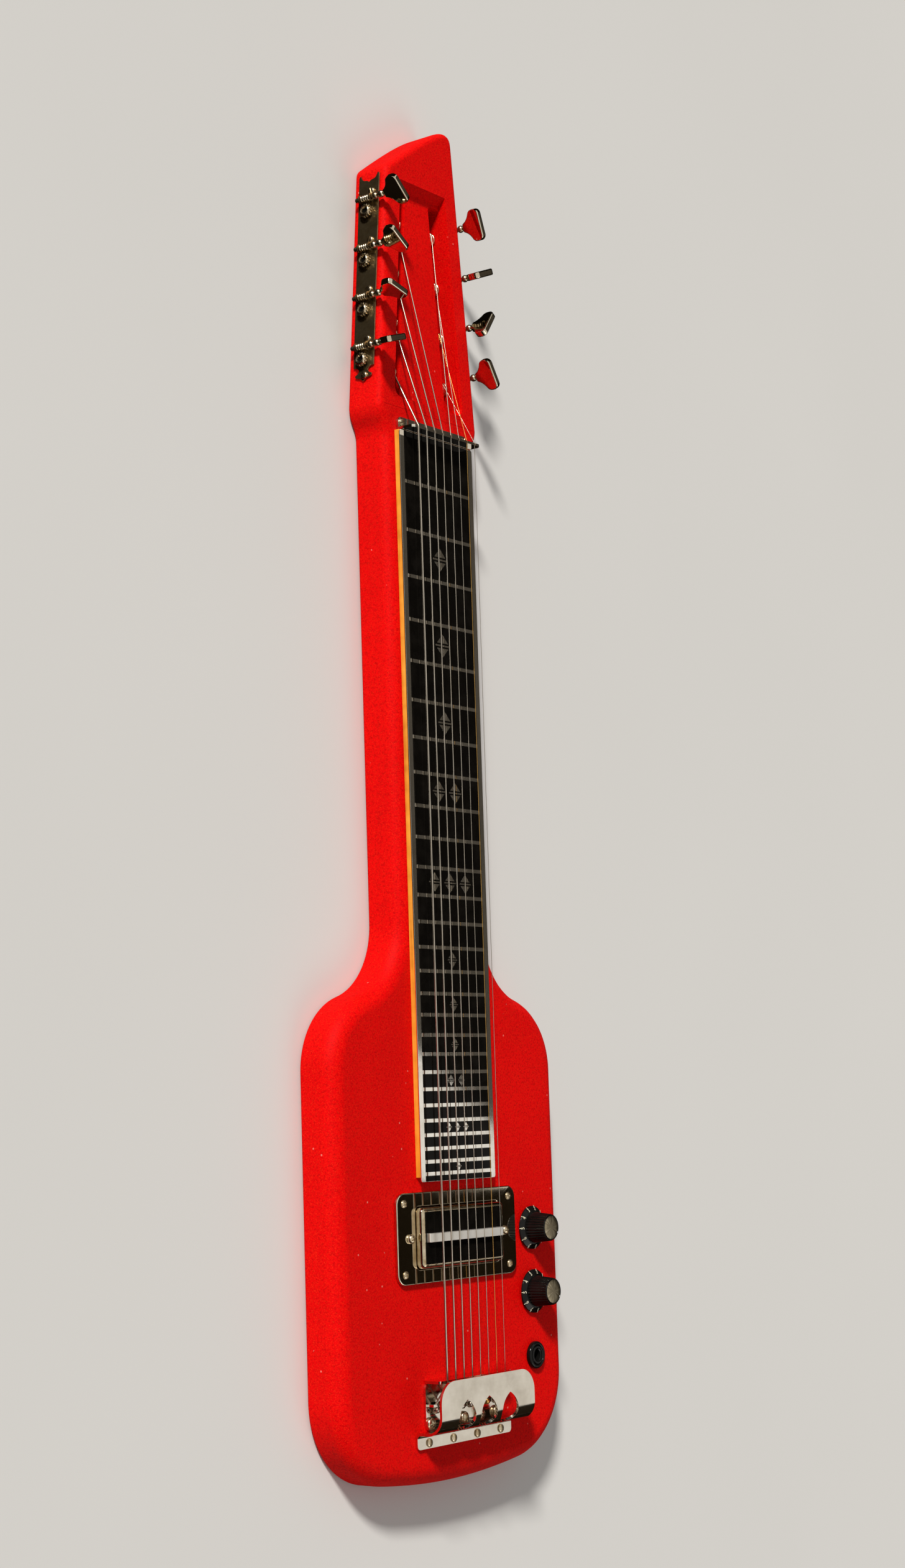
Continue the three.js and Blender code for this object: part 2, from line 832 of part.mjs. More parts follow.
function makeNut() {
  const bottom = body_thickness + glue_gap;
  const crest = string_z + nut_crown;
  const profile = [
    point(nut_half_width, 0),
    ...arc(
      point(nut_half_width - nut_corner_radius, crest - bottom - nut_corner_radius),
      nut_corner_radius, 0, right_angle, corner_steps,
    ),
    ...arc(
      point(nut_corner_radius - nut_half_width, crest - bottom - nut_corner_radius),
      nut_corner_radius, right_angle, Math.PI, corner_steps,
    ),
    point(-nut_half_width, 0),
  ];
  const wall = slab(profile, -nut_thickness, 0).rotateX(right_angle).translate(0, nut_y, bottom);
  const foot_half = nut_foot_length / 2;
  const foot = slab(rectangle(nut_half_width, foot_half, nut_corner_radius), bottom, bottom + nut_thickness);
  const holes = [-nut_screw_x, nut_screw_x].map((x) => {
    const hole = rod(small_screw.shank / 2 + fit_gap, 0, board_top, screw_sides);
    return hole.translate(x, nut_screw_y, 0);
  });
  const angle = joined(wall, foot.translate(0, nut_y + foot_half, 0));
  add('nut', cut(angle, ...notchTools(nut_y, nut_y + nut_thickness, string_z), ...holes), 'chrome');
}

// Screws: a slotted dome on a plain shank, with the seat of the head at z = 0

function makeScrew(name, screw, x, y, seat_z, finish = 'nickel') {
  const rim = screw.dome * screw_rim_share;
  const dome = [];
  for (let i = 0; i <= coarse_steps; i += 1) {
    const angle = (right_angle * i) / coarse_steps;
    dome.push([(screw.head / 2) * Math.cos(angle), rim + (screw.dome - rim) * Math.sin(angle)]);
  }
  dome[dome.length - 1][0] = 0;
  const profile = [
    [0, -screw.length],
    [(screw.shank * screw_tip_share) / 2, -screw.length],
    [screw.shank / 2, screw.shank - screw.length],
    [screw.shank / 2, 0],
    [screw.head / 2, 0],
    ...dome,
  ];
  const slot = block(screw.head, screw_slot_width / 2, screw.dome - screw_slot_depth, screw.dome + overrun);
  add(name, cut(turned(profile, screw_sides), slot), finish, x, y, seat_z + glue_gap);
}

function makeNutScrews() {
  const seat = body_thickness + glue_gap + nut_thickness;
  makeScrew('nut_screw_bass', small_screw, -nut_screw_x, nut_screw_y, seat);
  makeScrew('nut_screw_treble', small_screw, nut_screw_x, nut_screw_y, seat);
}

// Pickup

function makePickupRing() {
  const outline = rectangle(ring_half_length, ring_half_width, ring_corner_radius);
  const low_edge = ring_edge * low_edge_share;
  const blank = roundedSlab(outline, () => ring_edge, ring_thickness, plain_steps, low_edge, 1);
  const gap = fit_gap + glue_gap;
  const window_x = cover_half_length + gap;
  const window_y = cover_half_width + gap;
  const window = slab(rectangle(window_x, window_y, cover_corner_radius), -overrun, ring_thickness + overrun);
  const holes = [-height_screw_x, height_screw_x].map((x) => {
    const hole = rod(height_screw.shank / 2 + fit_gap, -overrun, ring_thickness + overrun, bore_sides);
    return hole.translate(x, 0, 0);
  });
  add('pickup_ring', cut(blank, window, ...holes), 'chrome', 0, pickup_y, ring_bottom);
}

function makePickupCover() {
  const outline = rectangle(cover_half_length, cover_half_width, cover_corner_radius, coarse_steps);
  const height = cover_height + cover_edge_radius;
  const low_edge = cover_edge_radius * low_edge_share;
  const blank = roundedSlab(outline, () => cover_edge_radius, height, coarse_steps, low_edge, 1);
  const skirt = block(cover_half_length + overrun, cover_half_width + overrun, -overrun, cover_edge_radius);
  const inner_x = cover_half_length - cover_wall;
  const inner_y = cover_half_width - cover_wall;
  const inner_top = cover_edge_radius + cover_height - cover_wall;
  const room = rectangle(inner_x, inner_y, cover_corner_radius - cover_wall, plain_steps);
  const inner = slab(room, -overrun, inner_top);
  const window_x = blade_half_length + fit_gap;
  const window_y = blade_thickness / 2 + fit_gap;
  const window = block(window_x, window_y, 0, cover_height + cover_edge_radius + overrun);
  const cover = cut(blank, skirt, inner, window).translate(0, 0, -cover_edge_radius);
  add('pickup_cover', cover, 'nickel', 0, pickup_y, cover_top - cover_height);
}

const pickup_base_top = cover_top - cover_height - glue_gap;
const coil_z = cover_top - cover_wall - fit_gap - coil_height;
const blade_top = cover_top + blade_above_cover;

function makePickupInside() {
  const blade = block(blade_half_length, blade_thickness / 2, pickup_base_top + base_to_blade, blade_top);
  add('pickup_blade', blade, 'steel', 0, pickup_y, 0);
  const coil_x = cover_half_length - cover_wall - fit_gap;
  const coil_y = cover_half_width - cover_wall - fit_gap;
  const winding = rectangle(coil_x, coil_y, cover_corner_radius, plain_steps);
  const coil = slab(winding, coil_z, coil_z + coil_height);
  const gap_x = blade_half_length + fit_gap;
  const core = block(gap_x, blade_thickness / 2 + fit_gap, coil_z - overrun, coil_z + coil_height + overrun);
  add('pickup_coil', cut(coil, core), 'copper_coil', 0, pickup_y, 0);
  const base_low = pickup_base_top - pickup_base_thickness;
  const plate = block(cover_half_length, cover_half_width, base_low, pickup_base_top);
  const ear_x = height_screw_x + pickup_ear_overhang;
  const ears = block(ear_x, pickup_ear_half_width, base_low, pickup_base_top);
  const holes = [-height_screw_x, height_screw_x].map((x) => {
    const hole = rod(height_screw.shank / 2 + fit_gap, base_low - overrun, body_thickness, bore_sides);
    return hole.translate(x, 0, 0);
  });
  const post_top = coil_z - glue_gap;
  const rest_x = blade_half_length / 2;
  const rests = [-rest_x, rest_x].map((x) => {
    const rest = block(coil_rest_half_width, coil_rest_half_width, base_low, post_top);
    return rest.translate(x, cover_half_width / 2, 0);
  });
  add('pickup_baseplate', cut(joined(plate, ears, ...rests), ...holes), 'zinc', 0, pickup_y, 0);
  makeScrew('height_screw_bass', height_screw, -height_screw_x, pickup_y, ring_top);
  makeScrew('height_screw_treble', height_screw, height_screw_x, pickup_y, ring_top);
}

// Bridge

// A bent plate: the middle line lists y and z, and the plate is as wide as asked
function bentPlate(line, thickness, half_width) {
  const offset = (sign) => line.map((p, i) => {
    const before = line[Math.max(i - 1, 0)];
    const after = line[Math.min(i + 1, line.length - 1)];
    const first = (i > 0 ? p.clone().sub(before) : after.clone().sub(p)).normalize();
    const second = (i < line.length - 1 ? after.clone().sub(p) : p.clone().sub(before)).normalize();
    const along = first.clone().add(second).normalize();
    const stretch = 1 / along.dot(first);
    const reach = (sign * thickness * stretch) / 2;
    return point(p.x - along.y * reach, p.y + along.x * reach);
  });
  const outline = [...offset(-1), ...offset(1).reverse()];
  return slab(outline, -half_width, half_width).rotateX(right_angle).rotateZ(right_angle);
}

// A drop with a pointed tip at the front, cut at a slant through the plate and its rear bend
function dropTool(x) {
  const centre_y = drop_radius - drop_length;
  const bulge_y = centre_y * drop_fullness_share;
  const side = new THREE.QuadraticBezierCurve(
    point(0, 0),
    point(drop_radius, bulge_y),
    point(drop_radius, centre_y),
  );
  const right = side.getPoints(bend_steps).slice(1);
  const round = arc(point(0, centre_y), drop_radius, 0, -Math.PI, drop_steps).slice(1, -1);
  const left = right.slice().reverse().map((p) => point(-p.x, p.y));
  const outline = [point(0, 0), ...right, ...round, ...left].reverse();
  const prism = slab(outline, -cover_rise * 2, cover_rise);
  const tip_at = saddle_y - drop_tip_setback;
  return prism.rotateX(right_angle / 2).translate(x, tip_at, body_thickness + cover_rise);
}

function coverPlan(front_y) {
  const half_x = cover_plate_half_width;
  const rear_x = half_x - flange_corner_radius;
  const front_x = half_x - cover_front_radius;
  const rear_y = flange_y + flange_corner_radius;
  const bow_y = front_y - cover_front_radius;
  return [
    ...arc(point(rear_x, rear_y), flange_corner_radius, -right_angle, 0, coarse_steps),
    ...arc(point(front_x, bow_y), cover_front_radius, 0, right_angle, bend_steps),
    ...arc(point(-front_x, bow_y), cover_front_radius, right_angle, Math.PI, bend_steps),
    ...arc(point(-rear_x, rear_y), flange_corner_radius, Math.PI, right_angle * 3, coarse_steps),
  ];
}

function makeBridgeCover() {
  const flange_z = body_thickness + glue_gap + bridge_metal / 2;
  const top_z = body_thickness + cover_rise - bridge_metal / 2;
  const foot_bend = flange_bend_radius;
  const bend = cover_bend_radius;
  const front_y = saddle_y + cover_front_y_gap;
  const line = [
    point(flange_y, flange_z),
    ...arc(point(wall_y - foot_bend, flange_z + foot_bend), foot_bend, -right_angle, 0, foot_bend_steps),
    ...arc(point(wall_y + bend, top_z - bend), bend, Math.PI, right_angle, bend_steps),
    point(front_y, top_z),
  ];
  const plate = bentPlate(line, bridge_metal, cover_plate_half_width);
  const trim = slab(coverPlan(front_y), 0, body_thickness + cover_rise + overrun);
  const drops = rowPlaces(drop_count, drop_pitch).map((x) => dropTool(x + drop_shift - cover_plate_x));
  const holes = flangeScrewPlaces().map((x) => {
    const hole = rod(flange_screw.shank / 2 + fit_gap, 0, board_top, screw_sides);
    return hole.translate(x - cover_plate_x, flange_screw_y, 0);
  });
  add('bridge_cover', cut(common(plate, trim), ...drops, ...holes), 'chrome', cover_plate_x, 0, 0);
  flangeScrewPlaces().forEach((x, k) => {
    const seat = body_thickness + glue_gap + bridge_metal;
    makeScrew(`flange_screw_${k + 1}`, flange_screw, x, flange_screw_y, seat);
  });
}

const base_low = body_thickness + glue_gap;
const lip_seat_z = base_low + bridge_metal + lip_seat;

// The saddle is the front of the base plate, bent upright; a low lip behind it holds the ball ends
function makeBridgeBase() {
  const top_z = base_low + bridge_metal;
  const crest_z = string_z + base_crown;
  const front_y = saddle_y + bridge_metal / 2;
  const plan = rectangle(base_half_width, base_length / 2, base_corner_radius, coarse_steps);
  const foot = slab(moved(plan, 0, base_rear_y + base_length / 2), base_low, top_z);
  const wall_profile = moved(
    rectangle(base_half_width, (crest_z - base_low) / 2, wall_corner_radius, plain_steps),
    0,
    (crest_z + base_low) / 2,
  );
  const wall = slab(wall_profile, 0, bridge_metal).rotateX(right_angle).translate(0, front_y, 0);
  const front_foot = block(base_half_width - base_corner_radius, base_corner_radius / 2, base_low, top_z);
  const lip_half = base_half_width - bridge_metal;
  const lip = block(lip_half, bridge_metal / 2, base_low, top_z + lip_height).translate(0, lip_y, 0);
  const holes = rowPlaces(base_screw_count, base_screw_pitch).map((x) => {
    const hole = rod(base_screw.shank / 2 + fit_gap, 0, board_top, screw_sides);
    return hole.translate(x, base_screw_y, 0);
  });
  const notches = notchTools(front_y - bridge_metal, front_y, string_z);
  const lip_notches = notchTools(lip_y - bridge_metal / 2, lip_y + bridge_metal / 2, lip_seat_z);
  const bent = joined(foot, wall, front_foot.translate(0, front_y - base_corner_radius / 2, 0), lip);
  add('bridge_base', cut(bent, ...notches, ...lip_notches, ...holes), 'chrome');
  rowPlaces(base_screw_count, base_screw_pitch).forEach((x, k) => {
    makeScrew(`bridge_screw_${k + 1}`, base_screw, x, base_screw_y, top_z);
  });
}

// Knobs, potentiometers and jack

function makeKnob(index) {
  const y = first_knob_y - index * control_pitch;
  const bottom = body_thickness + knob_clearance;
  const skirt_profile = [
    [0, 0],
    [skirt_radius, 0],
    [skirt_radius, skirt_rim],
    [barrel_base_radius + barrel_foot, skirt_height],
    [0, skirt_height],
  ];
  const ridges = [];
  const cap_base = knob_height - cap_height;
  for (let k = 0; k < flute_count * 2; k += 1) {
    const angle = (full_turn * k) / (flute_count * 2);
    const radius = k % 2 ? barrel_base_radius : barrel_base_radius - flute_depth;
    ridges.push(point(radius * Math.cos(angle), radius * Math.sin(angle)));
  }
  const barrel = slab(ridges, skirt_height / 2, cap_base);
  const places = barrel.attributes.position;
  const taper = 1 - barrel_top_radius / barrel_base_radius;
  for (let i = 0; i < places.count; i += 1) {
    const rise = Math.max(places.getZ(i) - skirt_height / 2, 0) / (cap_base - skirt_height / 2);
    const scale = 1 - taper * rise;
    places.setXY(i, places.getX(i) * scale, places.getY(i) * scale);
  }
  const cap = turned([[0, cap_base - overrun], [cap_radius, cap_base - overrun], [cap_radius, cap_base],
    [cap_radius - cap_height, knob_height], [0, knob_height]]);
  const bore = rod(shaft_radius + fit_gap, -overrun, shaft_bore_depth);
  const well = rod(bushing_radius + fit_gap, -overrun, bushing_rise);
  const knob = cut(joined(turned(skirt_profile), barrel, cap), bore, well);
  add(`knob_${index + 1}`, knob, 'black_plastic', control_x, y, bottom);
}

function makePotentiometer(index) {
  const y = first_knob_y - index * control_pitch;
  const ceiling = body_thickness - top_wall - fit_gap;
  const low = ceiling - pot_height;
  const bushing_top = body_thickness + bushing_rise;
  const can = turned([[0, low], [pot_radius, low], [pot_radius, ceiling], [bushing_radius, ceiling],
    [bushing_radius, bushing_top], [0, bushing_top]]);
  const bore = rod(shaft_radius + fit_gap, low + pot_floor, bushing_top + overrun);
  add(`potentiometer_${index + 1}`, cut(can, bore), 'zinc', control_x, y, 0);
  const shaft_low = low + pot_floor + fit_gap;
  const shaft_top = body_thickness + knob_clearance + shaft_bore_depth - fit_gap;
  add(`control_shaft_${index + 1}`, rod(shaft_radius, shaft_low, shaft_top), 'steel', control_x, y, 0);
}

function makeJack() {
  const top = body_thickness + glue_gap + jack_nut_height;
  const chamfer = jack_nut_chamfer;
  const ring = turned([[0, 0], [jack_nut_radius, 0], [jack_nut_radius, jack_nut_height - chamfer],
    [jack_nut_radius - chamfer, jack_nut_height], [0, jack_nut_height]]);
  const hole = rod(jack_bushing_radius + fit_gap, -overrun, jack_nut_height + overrun);
  add('jack_nut', cut(ring, hole), 'black_plastic', control_x, jack_y, body_thickness + glue_gap);
  const ceiling = body_thickness - top_wall - fit_gap;
  const low = ceiling - jack_body_length;
  const housing = turned([[0, low], [jack_body_radius, low], [jack_body_radius, ceiling],
    [jack_bushing_radius, ceiling], [jack_bushing_radius, top], [0, top]]);
  const bore = rod(jack_bore_radius, low + jack_floor, top + overrun);
  add('jack_socket', cut(housing, bore), 'black_plastic', control_x, jack_y, 0);
}

// Tuning machines, in the frame of the head's side: x out of the side, z up

const worm_x = fit_gap + plate_thickness + fit_gap + worm_radius;
const worm_offset = gear_radius + worm_radius + gear_to_worm_gap;

function plateOutline(side) {
  const low = -first_post_to_plate_end;
  const high = low + plate_length;
  const half = plate_width / 2;
  const neck = plate_neck_half_width;
  const inner_low = low + plate_neck_length + plate_horn;
  const right = [
    point(0, low),
    point(neck / 2, low + plate_horn / 2),
    point(neck, low + plate_horn),
    point(neck, low + plate_neck_length),
    point(half, inner_low),
    point(half, high),
    point(half - plate_horn / 2, high),
    point(neck, high - plate_horn),
    point(0, high - plate_horn),
  ];
  const left = right.slice(1, -1).reverse().map((p) => point(-p.x, p.y));
  const outline = [...right, ...left];
  return side > 0 ? outline : outline.map((p) => point(p.x, -p.y)).reverse();
}

function lugTools(side, k) {
  const reach = worm_x + worm_journal_radius + fit_gap + plate_thickness;
  const start = fit_gap + plate_thickness / 2;
  const y = side * (k * tuner_pitch + worm_offset);
  const lugs = [];
  for (const end of [-1, 1]) {
    const z = end * (worm_length / 2 + fit_gap + lug_thickness / 2);
    const lug = block((reach - start) / 2, lug_half_width, z - lug_thickness / 2, z + lug_thickness / 2);
    lugs.push(lug.translate((reach + start) / 2, y, 0));
  }
  const hole_half = worm_length / 2 + lug_thickness * 2;
  const hole = rod(worm_journal_radius + fit_gap, -hole_half, hole_half, worm_sides).translate(worm_x, y, 0);
  return { lugs, hole };
}

function makePlate(side, name) {
  const outline = plateOutline(side);
  const strip = slab(outline, fit_gap, fit_gap + plate_thickness);
  strip.rotateY(right_angle);
  const lugs = [];
  const holes = [];
  for (let k = 0; k < tuners_per_side; k += 1) {
    const tools = lugTools(side, k);
    lugs.push(...tools.lugs);
    const y = side * k * tuner_pitch;
    const far_side = fit_gap + plate_thickness + overrun;
    const bore = rod(post_radius + fit_gap, -overrun, far_side, post_sides).rotateY(right_angle);
    holes.push(tools.hole, bore.translate(0, y, 0));
  }
  const plate = cut(joined(strip, ...lugs), ...holes).applyMatrix4(sideFrame(side, 0));
  add(name, plate, 'nickel');
}

function gearOutline() {
  const points = [];
  for (let tooth = 0; tooth < gear_teeth; tooth += 1) {
    const start = (full_turn * tooth) / gear_teeth;
    const half_step = full_turn / gear_teeth / 2;
    [gear_root_radius, gear_radius].forEach((radius, i) => {
      points.push(point(radius * Math.cos(start + half_step * i), radius * Math.sin(start + half_step * i)));
    });
  }
  return points;
}

function makePost(side, k, name) {
  const inner_end = -(rail_width + slot_width + post_end_length);
  const slot_far = -(rail_width + slot_width) + fit_gap;
  const slot_near = -rail_width - fit_gap;
  const gear_low = worm_x - gear_width / 2;
  const gear_high = worm_x + gear_width / 2;
  const shaft = turned([[0, inner_end], [post_radius, inner_end], [post_radius, slot_far],
    [roller_radius, slot_far], [roller_radius, slot_near], [post_radius, slot_near],
    [post_radius, gear_low + overrun], [0, gear_low + overrun]], post_sides);
  const gear = slab(gearOutline(), gear_low, gear_high);
  const post = joined(shaft, gear).rotateY(right_angle).applyMatrix4(sideFrame(side, k * tuner_pitch));
  add(name, post, 'steel');
}

function ballProfile(radius, middle, stem) {
  const reach = Math.sqrt(radius * radius - stem * stem);
  const start = Math.atan2(-reach, stem);
  const points = [];
  for (let i = 0; i <= coarse_steps; i += 1) {
    const angle = start - (start * 2 * i) / coarse_steps;
    points.push([radius * Math.cos(angle), middle + radius * Math.sin(angle)]);
  }
  return points;
}

function buttonSolid(low) {
  const inner = button_neck_half_width;
  const outer = button_half_width;
  const corner = button_corner_radius;
  const top = low + button_height;
  const right = [
    point(inner, low),
    point(inner + button_flare, low + button_flare_height),
    point(outer - corner / 2, low + button_shoulder_height),
    ...arc(point(outer - corner, low + button_shoulder_height + corner), corner, -right_angle / 2, 0, 1),
    ...arc(point(outer - corner, top - corner), corner, 0, right_angle, coarse_steps),
  ];
  const left = right.slice().reverse().map((p) => point(-p.x, p.y));
  const edge = button_edge_radius;
  const plate = roundedSlab([...right, ...left], () => edge, button_thickness, 1, edge, 1);
  return plate.translate(0, 0, -button_thickness / 2).rotateX(right_angle);
}

function makeWorm(side, k, turn, name) {
  const half = worm_length / 2;
  const lug_reach = half + fit_gap * 2 + lug_thickness;
  const knob_z = -lug_reach - end_knob_radius;
  const first_z = lug_reach + collar_neck_length + collar_radius;
  const second_z = first_z + collar_spacing;
  const stem = worm_journal_radius;
  const profile = [[0, knob_z - end_knob_radius]];
  profile.push(...ballProfile(end_knob_radius, knob_z, stem));
  profile[1][0] = stem;
  profile.push([stem, -half]);
  for (let thread = 0; thread < worm_threads; thread += 1) {
    const start = -half + (worm_length * thread) / worm_threads;
    const half_step = worm_length / worm_threads / 2;
    profile.push([worm_root_radius, start], [worm_radius, start + half_step]);
  }
  profile.push([worm_root_radius, half], [stem, half]);
  profile.push(...ballProfile(collar_radius, first_z, stem));
  profile.push(...ballProfile(collar_radius, second_z, stem));
  const button_low = second_z + collar_radius + button_gap;
  profile.push([stem, button_low + overrun], [0, button_low + overrun]);
  const solid = joined(turned(profile, worm_sides), buttonSolid(button_low));
  const y = side * worm_offset;
  const frame = sideFrame(side, k * tuner_pitch);
  const place = new THREE.Vector3(worm_x, y, 0).applyMatrix4(frame);
  const mesh = add(name, solid, 'nickel', place.x, place.y, place.z);
  mesh.rotation.z = turn;
}

function makeTuners() {
  const sides = [[-1, 'bass', left_button_degrees], [1, 'treble', right_button_degrees]];
  for (const [side, word, degrees] of sides) {
    makePlate(side, `tuner_plate_${word}`);
    for (let k = 0; k < tuners_per_side; k += 1) {
      makePost(side, k, `tuner_post_${word}_${k + 1}`);
      makeWorm(side, k, THREE.MathUtils.degToRad(degrees[k]), `tuner_button_${word}_${k + 1}`);
    }
  }
}

// Strings: from the ball end over the saddle and the nut, then round the post

// The least gap of a wrap to itself, from each point of its middle line to all spans half a turn away
function leastGap(points, diameter) {
  const nearest = new THREE.Vector3();
  let least = Infinity;
  for (let i = 0; i < points.length; i += 1) {
    for (let j = 0; j < points.length - 1; j += 1) {
      if (Math.abs(j - i) >= wrap_steps_per_turn / 2) {
        new THREE.Line3(points[j], points[j + 1]).closestPointToPoint(points[i], true, nearest);
        least = Math.min(least, nearest.distanceTo(points[i]) - diameter);
      }
    }
  }
  return least;
}

function makeString(index) {
  const diameter = string_diameters[index];
  const x = stringX(index);
  const side = x < 0 ? -1 : 1;
  const k = side < 0 ? index : string_count - 1 - index;
  const frame = sideFrame(side, k * tuner_pitch);
  const inverse = frame.clone().invert();
  const rear = new THREE.Vector3(x, nut_y + nut_thickness + bend_offset, string_z);
  const local = rear.clone().applyMatrix4(inverse);
  const reach = (roller_radius + fit_gap + diameter / 2) / Math.cos(Math.PI / wrap_steps_per_turn);
  const flat_y = local.y * side;
  const span = Math.hypot(flat_y, local.z);
  const aim = Math.atan2(-local.z, -flat_y) + Math.asin(reach / span);
  const first_angle = aim + right_angle;
  const wrap_width = wrap_turns * (diameter + wrap_gap);
  const start_x = -rail_width - slot_width / 2 + wrap_width / 2;
  const wrap_steps = Math.round(wrap_turns * wrap_steps_per_turn);
  const wrap = [];
  for (let i = 0; i <= wrap_steps; i += 1) {
    const turns = i / wrap_steps_per_turn;
    const angle = first_angle - full_turn * turns;
    const across = start_x - turns * (diameter + wrap_gap);
    const spot = new THREE.Vector3(across, side * reach * Math.cos(angle), reach * Math.sin(angle));
    wrap.push(spot.applyMatrix4(frame));
  }
  const route = [
    new THREE.Vector3(x, ball_y, lip_seat_z),
    new THREE.Vector3(x, lip_y + bridge_metal / 2 + bend_offset, lip_seat_z),
    new THREE.Vector3(x, saddle_y - bridge_metal / 2 - bend_offset, string_z),
    new THREE.Vector3(x, nut_y, string_z),
    rear,
    ...wrap,
  ];
  const ball = rod(ball_diameter / 2, -ball_length / 2, ball_length / 2, bore_sides).rotateY(right_angle);
  const finish = index === string_count - 2 ? 'gold_steel' : 'steel';
  const name = `string_${index + 1}`;
  console.log(`${name}: the wrap keeps ${leastGap([rear, ...wrap], diameter).toFixed(2)} mm to itself`);
  add(name, joined(wire(route, diameter / 2), ball.translate(x, ball_y, lip_seat_z)), finish);
}

makeBody();
makeBackCover();
makeFingerboard();
makeNut();
makeNutScrews();
makePickupRing();
makePickupCover();
makePickupInside();
makeBridgeBase();
makeBridgeCover();
for (let index = 0; index < control_count; index += 1) {
  makeKnob(index);
  makePotentiometer(index);
}
makeJack();
makeTuners();
for (let index = 0; index < string_count; index += 1) {
  makeString(index);
}

export default group;
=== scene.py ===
# %% [markdown]
# # A lap steel guitar in Blender
#
# The solids of the guitar come from a CAD model. They are right in place and size, but their edges
# are coarse and their surfaces are bare. This lesson loads them, models the visible pieces again
# with finer edges, gives each piece a finish built from nodes, and sets up a small studio.
# Everything is in metres. +Z points out of the face, +Y runs to the tip of the head.

# %% Load the CAD model
import json
import math

import bpy
from mathutils import Matrix, Vector


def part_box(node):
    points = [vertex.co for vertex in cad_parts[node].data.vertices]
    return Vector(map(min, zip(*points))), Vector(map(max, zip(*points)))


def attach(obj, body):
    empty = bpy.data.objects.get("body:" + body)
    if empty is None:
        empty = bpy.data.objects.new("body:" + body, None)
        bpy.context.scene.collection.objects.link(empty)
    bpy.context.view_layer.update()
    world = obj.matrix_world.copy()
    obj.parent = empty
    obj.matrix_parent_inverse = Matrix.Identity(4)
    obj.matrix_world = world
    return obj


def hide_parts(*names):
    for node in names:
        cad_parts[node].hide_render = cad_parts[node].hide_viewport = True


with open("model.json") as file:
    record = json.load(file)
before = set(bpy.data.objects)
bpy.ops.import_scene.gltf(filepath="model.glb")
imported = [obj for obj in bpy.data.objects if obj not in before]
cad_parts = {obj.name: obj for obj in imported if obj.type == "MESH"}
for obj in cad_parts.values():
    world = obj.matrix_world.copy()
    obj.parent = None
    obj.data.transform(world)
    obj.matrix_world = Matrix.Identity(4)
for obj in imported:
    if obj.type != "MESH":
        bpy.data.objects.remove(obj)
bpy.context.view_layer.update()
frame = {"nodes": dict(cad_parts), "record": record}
nodes = frame["nodes"]
print("CAD nodes:", len(nodes))

# %% [markdown]
# ## The measures that several pieces share
#
# A maker's drawing is in millimetres, so the lesson is too: every helper below takes millimetres
# and multiplies them by `mm`. The main places are read from the CAD nodes, so that a new piece
# always lies where its solid lies.

# %% Main places
mm = 0.001
quarter = math.pi / 2
turn = math.pi * 2
glue = 0.1  # the gap under a part that lies on another
fit = 0.3  # the play round a part that sits in a hole
body_top, tail_to_saddle, string_length, string_lift = 25.4, 60.5, 571.5, 8.3
seat = body_top + glue  # where the metal parts lie on the body

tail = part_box("body")[0].y / mm
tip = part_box("body")[1].y / mm
saddle = tail + tail_to_saddle
nut = saddle + string_length
board_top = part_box("fingerboard_plate")[1].z / mm
string_z = board_top + string_lift
print("nut", round(nut, 3), "saddle", round(saddle, 3), "board top", round(board_top, 3))


def middle(node):
    """The centre of a CAD node's box, in millimetres."""
    low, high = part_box(node)
    return (low + high) / 2 / mm


# %% [markdown]
# ## Camera
#
# The camera comes first, because a likeness starts with the right point of view. It stands to the
# left of the guitar and above it, and its long side runs along the strings. Its place was found by
# matching the fret lines, whose spacing is known.

# %% Camera
bpy.ops.object.camera_add(location=(-1.23578, -0.199035, 0.95699))
camera = bpy.context.object
camera.name = "camera"
camera.rotation_euler = [math.radians(angle) for angle in (9.5686, -52.97996, -2.98398)]
camera.data.lens = 58.41
camera.data.sensor_width = 36
camera.data.clip_start = 0.05
camera.data.clip_end = 60
bpy.context.scene.camera = camera
print("camera", [round(v, 3) for v in camera.location])

# %% [markdown]
# ## Helpers for modelling
#
# Blender's operators act on what is selected, so each helper first selects one object alone.
# Most metal and plastic parts of a guitar are either stamped from sheet or turned on a lathe.
# `plate` makes the first kind: a ring of points is filled and extruded. `lathe` makes the second:
# a profile is spun about the upright axis. `carve` then cuts holes, and `soften` rounds the edges,
# because a perfectly sharp edge never catches the light and looks false.

# %% Selecting and naming
def alone(piece):
    """Select one object alone and make it active."""
    bpy.ops.object.select_all(action="DESELECT")
    piece.select_set(True)
    bpy.context.view_layer.objects.active = piece


def named(name):
    """Name the object that an operator has just made."""
    piece = bpy.context.object
    piece.name = name
    piece.data.name = name
    return piece


def added(name, operator, **settings):
    """Let an operator add an object, and name it."""
    bpy.ops.object.select_all(action="DESELECT")
    operator(**settings)
    return named(name)


def edit(piece, *steps):
    """Run edit-mode steps, each on the whole mesh."""
    alone(piece)
    bpy.ops.object.mode_set(mode="EDIT")
    bpy.ops.mesh.select_mode(type="VERT")
    for step in steps:
        bpy.ops.mesh.select_all(action="SELECT")
        step()
    bpy.ops.object.mode_set(mode="OBJECT")
    return piece


def outwards():
    bpy.ops.mesh.normals_make_consistent(inside=False)


# %% Sheet parts and turned parts
def plate(name, outline, low, high):
    """A flat plate: a ring of points on the outline, filled and extruded upwards."""
    piece = added(name, bpy.ops.mesh.primitive_circle_add, vertices=len(outline), fill_type="NGON")
    for vertex, (x, y) in zip(piece.data.vertices, outline):
        vertex.co = (x * mm, y * mm, low * mm)
    rise = {"value": (0, 0, (high - low) * mm)}
    return edit(piece, lambda: bpy.ops.mesh.extrude_region_move(TRANSFORM_OT_translate=rise), outwards)


